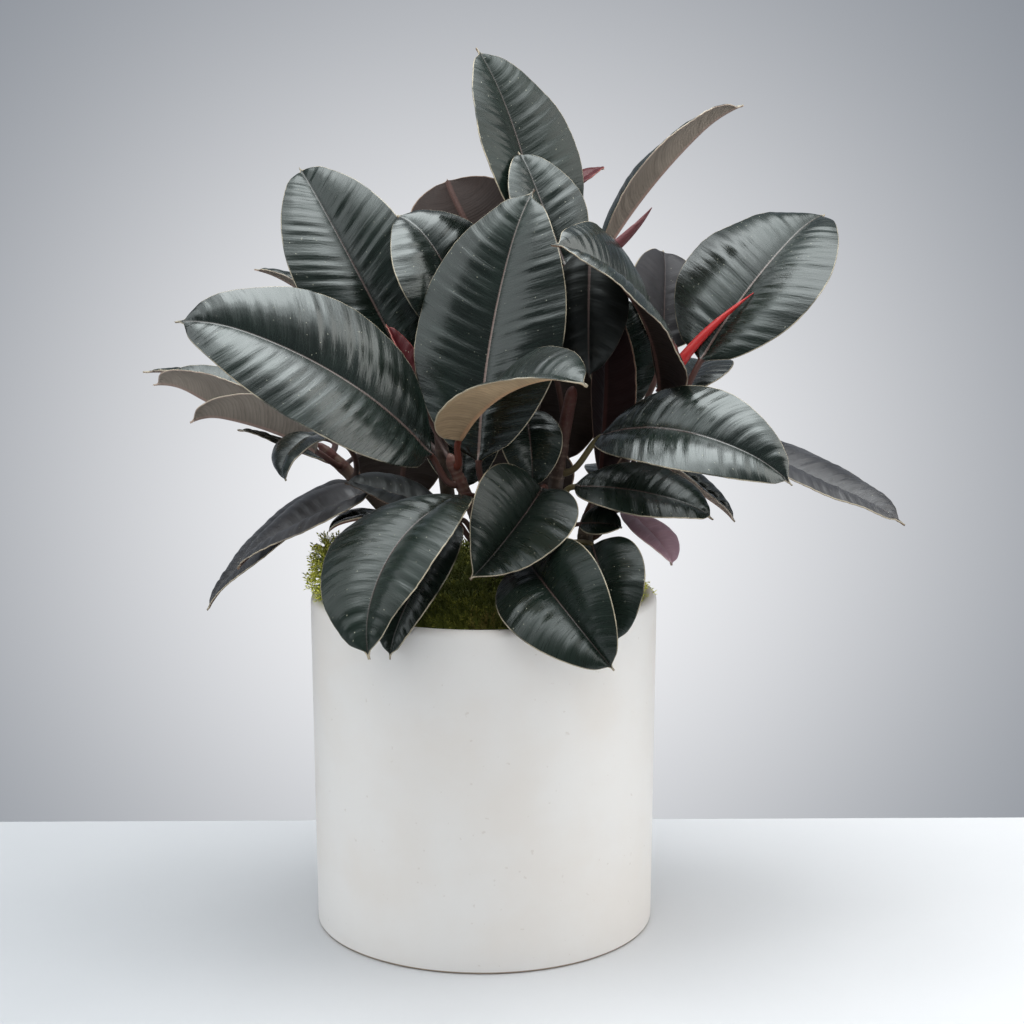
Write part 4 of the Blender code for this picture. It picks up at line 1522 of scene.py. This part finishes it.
@dataclass(frozen=True)
class Studio:
    """The pale table, the backdrop, the lights and the camera. Its sizes are in metres."""

    table_half: float = 3.0
    table_back: float = 0.184
    backdrop_far: float = 3.4
    backdrop_half: float = 3.2
    thickness: float = 0.03
    camera_place: Point = (0.0, -1.350, 0.515)
    camera_pitch: float = 0.1829
    camera_yaw: float = 0.0133
    focal_pixels: float = 2168.0
    picture_pixels: float = 1024.0
    sensor: float = 36.0
    ambient: Colour = (0.125, 0.135, 0.15)

    def block(self, name: str, low: Point, high: Point, finish: Finish) -> None:
        """Set up a block that isn't part of the plant.

        Args:
            name: its name.
            low: its lowest corner.
            high: its highest corner.
            finish: what it is finished in.
        """
        (west, south, bottom), (east, north, top) = low, high
        rings = np.array([[(west, south, z), (east, south, z), (east, north, z), (west, north, z)]
                          for z in (bottom, top)]) / MM
        mesh = make_skin(name, rings, *rings.mean(axis=1), finish)
        mesh.shade_flat()
        item = link(bpy.data.objects.new(name, mesh))

    def build(self) -> None:
        """Set the stage, the lights and the camera."""
        self.block("table", (-self.table_half, -self.table_half, -self.thickness),
                   (self.table_half, self.table_back, 0.0), TABLE)
        self.block("backdrop", (-self.backdrop_half, self.backdrop_far, -self.backdrop_half),
                   (self.backdrop_half, self.backdrop_far + self.thickness, self.backdrop_half),
                   BACKDROP)
        for light in Light:
            light.hang()
        self.light_room()
        self.place_camera()

    def light_room(self) -> None:
        """Give the room its even, faint light."""
        world = bpy.data.worlds.new("room")
        world.use_nodes = True
        book = Book(world.node_tree)
        air = book.node("ShaderNodeBackground", {"Color": self.ambient})
        book.node("ShaderNodeOutputWorld", {"Surface": air.outputs["Background"]})
        bpy.context.scene.world = world

    def place_camera(self) -> None:
        """Place the camera where the photograph was taken from."""
        lens = bpy.data.cameras.new("camera")
        lens.sensor_width = self.sensor
        lens.lens = self.focal_pixels / self.picture_pixels * self.sensor
        camera = link(bpy.data.objects.new("camera", lens))
        camera.location = self.camera_place
        camera.rotation_euler = (0.5 * math.pi - self.camera_pitch, 0.0, -self.camera_yaw)
        bpy.context.scene.camera = camera
        bpy.context.scene.view_settings.view_transform = "Standard"


STEMS = {
    "a": Stem("stem_a", ((5, -27, 120), (5, -27, 240), (-2, -29, 262), (-11, -31, 282),
                         (-17, -32, 297), (-21, -33, 308)), 4.8, 3.4),
    "b": Stem("stem_b", ((38, -5, 120), (38, -5, 238), (41, -5, 258), (45, -5, 282),
                         (50, -5, 315), (56, -5, 346)), 5.6, 3.8),
    "c": Stem("stem_c", ((15, 32, 120), (15, 32, 240), (22, 32, 290), (36, 31, 345),
                         (50, 30, 385), (60, 30, 412)), 5.6, 3.6),
    "d": Stem("stem_d", ((-42, 12, 120), (-42, 12, 238), (-61, 12, 262), (-84, 12, 287),
                         (-105, 11, 308)), 4.8, 3.2),
    "e": Stem("stem_e", ((66, 28, 120), (66, 28, 240), (78, 28, 268), (96, 28, 305),
                         (113, 29, 337)), 5.2, 3.4),
    "f": Stem("stem_f", ((-22, 48, 120), (-22, 48, 240), (-26, 42, 290), (-32, 34, 345)),
              5.2, 3.4),
}

LEAVES = (
    Leaf("a1", 268, (-3, -32, 302), (32, 22, 467), 100, roll=10, bow=10, fold=10, sweep=15,
         under=Under.MAROON, rib=0.9),
    Leaf("a2", 290, (-32, -36, 307), (-183, -62, 392), 95, roll=-48, bow=64, fold=10, hook=18,
         twist=-14, sweep=3, rib=0.3, blade=Blade.SLEEK),
    Leaf("a3", 300, (-15, -46, 318), (60, -114, 360), 86, roll=16, bow=55, fold=20, curl=6,
         twist=-8, under=Under.TAN, stalk=Stalk.ORANGE),
    Leaf("a4", 258, (-12, -66, 287), (-65, -159, 210), 88, roll=10, bow=59, fold=17, curl=18,
         twist=-4, sweep=-24, blade=Blade.DEEP),
    Leaf("a5", 246, (-16, -50, 268), (-56, -104, 196), 46, bow=30, blade=Blade.DEEP),
    Leaf("a6", 248, (-27, -22, 272), (-86, -27, 289), 52, roll=-14, bow=0, fold=12, twist=6,
         blade=Blade.BLACK),
    Leaf("a7", 304, (-40, -4, 338), (-61, 14, 383), 22, fold=50, bow=-10, hook=0,
         blade=Blade.RED, under=Under.MAROON),
    Leaf("b1", 292, (73, -13, 315), (183, -87, 297), 71, roll=35, bow=70, fold=14, twist=8,
         stalk=Stalk.OLIVE, blade=Blade.SLEEK),
    Leaf("b2", 262, (56, -16, 284), (142, -36, 267), 68, roll=18, bow=30, fold=10,
         stalk=Stalk.OLIVE, blade=Blade.DEEP),
    Leaf("b3", 262, (36, -33, 286), (-8, -101, 244), 80, roll=-34, bow=28, fold=42, curl=6,
         hook=-20, twist=-12, sweep=13, blade=Blade.DEEP),
    Leaf("b4", 246, (27, -64, 246), (75, -140, 198), 69, roll=45, bow=64, fold=26,
         blade=Blade.DEEP),
    Leaf("b5", 248, (67, -40, 251), (79, -96, 203), 56, roll=14, bow=65, fold=30, twist=-12,
         stalk=Stalk.OLIVE, blade=Blade.DEEP),
    Leaf("b6", 254, (60, -24, 262), (86, -30, 261), 28, roll=30, blade=Blade.DEEP),
    Leaf("b7", 306, (26, -4, 331), (30, -32, 286), 40, bow=60, blade=Blade.DEEP),
    Leaf("c1", 398, (38, 46, 419), (-4, 112, 556), 83, roll=8, bow=12, fold=20, hook=5,
         twist=-10, sweep=-18, blade=Blade.DEEP),
    Leaf("c2", 392, (52, 20, 418), (23, 64, 489), 54, roll=-8, bow=4, fold=22),
    Leaf("c3", 388, (77, 52, 424), (167, 62, 519), 70, roll=-7, fold=26, curl=6,
         under=Under.TAUPE),
    Leaf("c4", 404, (56, 94, 462), (81, 118, 477), 20, blade=Blade.RED, under=Under.ROSE),
    Leaf("c5", 366, (14, 76, 398), (-24, 134, 469), 76, roll=143, bow=-105, fold=0, twist=8,
         sweep=-12),
    Leaf("c6", 404, (67, 8, 432), (66, -10, 352), 50, roll=6, bow=34, fold=2, curl=18,
         blade=Blade.BLACK, under=Under.MAROON),
    Leaf("c7", 330, (46, 76, 350), (56, 114, 278), 62, bow=40),
    Leaf("c8", 280, (20, 78, 298), (32, 130, 226), 70, bow=40),
    Leaf("d1", 300, (-104, 46, 306), (-217, 70, 338), 74, bow=-25, fold=50, hook=38, sweep=20,
         under=Under.TAUPE),
    Leaf("d2", 292, (-92, 100, 306), (-232, 124, 340), 34, bow=10, under=Under.TAUPE),
    Leaf("d3", 294, (-104, -2, 304), (-183, -8, 324), 66, roll=12, bow=25, fold=38, hook=28,
         sweep=9, under=Under.TAUPE),
    Leaf("d4", 284, (-98, 26, 293), (-157, 22, 315), 24, bow=5, fold=5, under=Under.TAUPE),
    Leaf("d5", 286, (-96, -44, 320), (-119, -62, 296), 52, roll=6, bow=100, fold=8, hook=30,
         twist=24, sweep=-6),
    Leaf("d6", 258, (-70, -14, 282), (-155, -14, 232), 66, roll=-12, bow=12, fold=14, twist=14,
         blade=Blade.DUSKY),
    Leaf("d7", 258, (-85, 28, 281), (-179, 18, 198), 58, roll=-10, bow=10, fold=14, twist=10,
         blade=Blade.DUSKY),
    Leaf("d8", 250, (-60, -16, 264), (-97, -20, 257), 32, bow=40, under=Under.ROSE),
    Leaf("e1", 326, (113, 22, 337), (40, -72, 438), 98, roll=-45, bow=50, fold=16, sweep=-8,
         blade=Blade.SLEEK),
    Leaf("e2", 318, (139, 32, 357), (228, 106, 447), 100, roll=20, bow=32, fold=12, twist=-8,
         rib=0.6),
    Leaf("e3", 312, (117, 60, 360), (122, 126, 422), 62, roll=24, bow=5, fold=28,
         blade=Blade.SMOKE),
    Leaf("e4", 300, (126, 62, 330), (154, 134, 344), 60),
    Leaf("e5", 300, (130, 18, 326), (260, -40, 264), 68, bow=-10, fold=12, twist=14,
         blade=Blade.DUSKY),
    Leaf("e6", 284, (106, 18, 302), (160, 3, 258), 36, roll=-2, bow=-10, fold=27,
         under=Under.TAUPE),
    Leaf("e7", 268, (100, 50, 284), (134, 44, 289), 30, roll=60, bow=30),
    Leaf("e8", 256, (75, 20, 284), (72, 6, 410), 56, roll=-50, bow=10, under=Under.MAROON),
    Leaf("e9", 244, (90, 20, 262), (120, -2, 231), 60, roll=-12, bow=25, fold=10,
         blade=Blade.PURPLE, under=Under.ROSE),
    Leaf("e10", 286, (91, 64, 320), (91, 76, 396), 46),
    Leaf("e11", 250, (90, 66, 266), (108, 160, 258), 60, bow=30),
    Leaf("f1", 330, (-48, 34, 350), (-121, 100, 478), 82, roll=-44, bow=38),
    Leaf("f2", 334, (-15, 47, 374), (-55, 53, 449), 85, roll=-38, bow=80, fold=9, twist=-8,
         blade=Blade.SLEEK),
    Leaf("f3", 322, (-66, 56, 368), (-150, 80, 413), 44, roll=4, bow=5, fold=24,
         under=Under.TAUPE),
    Leaf("f4", 296, (-48, 76, 306), (-58, 130, 236), 66, bow=40),
    Leaf("f5", 252, (-15, 68, 268), (-7, 98, 350), 58),
)

SHEATHS = (
    Sheath("c", (90, 18, 434), (105, 8, 456), 4.2, ROSE_SHEATH),
    Sheath("e", (132, 30, 372), (174, 45, 400), 3.8, RED_SHEATH),
)


def dress_soil() -> bpy.types.Object:
    """Give the packed soil its finish, since its plain form is right.

    Returns:
        The soil's piece.
    """
    soil = frame["nodes"]["soil"]
    for slot in soil.material_slots:
        slot.material = SOIL.material()
    return soil


def main() -> None:
    """Build the plant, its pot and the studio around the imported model."""
    logging.basicConfig(level=logging.INFO, format="%(message)s")
    pieces = [Pot().build(), dress_soil(), *MossBed().build()]
    pieces += [stem.build([leaf.node for leaf in LEAVES if leaf.label[0] == letter])
               for letter, stem in STEMS.items()]
    pieces += [leaf.build(STEMS[leaf.label[0]], number) for number, leaf in enumerate(LEAVES, 1)]
    pieces += [sheath.build(STEMS[sheath.stem]) for sheath in SHEATHS]
    for piece in pieces:
        LOG.info("%s: %d faces", piece.name, len(piece.data.polygons))
    Studio().build()


if __name__ == "__main__":
    main()
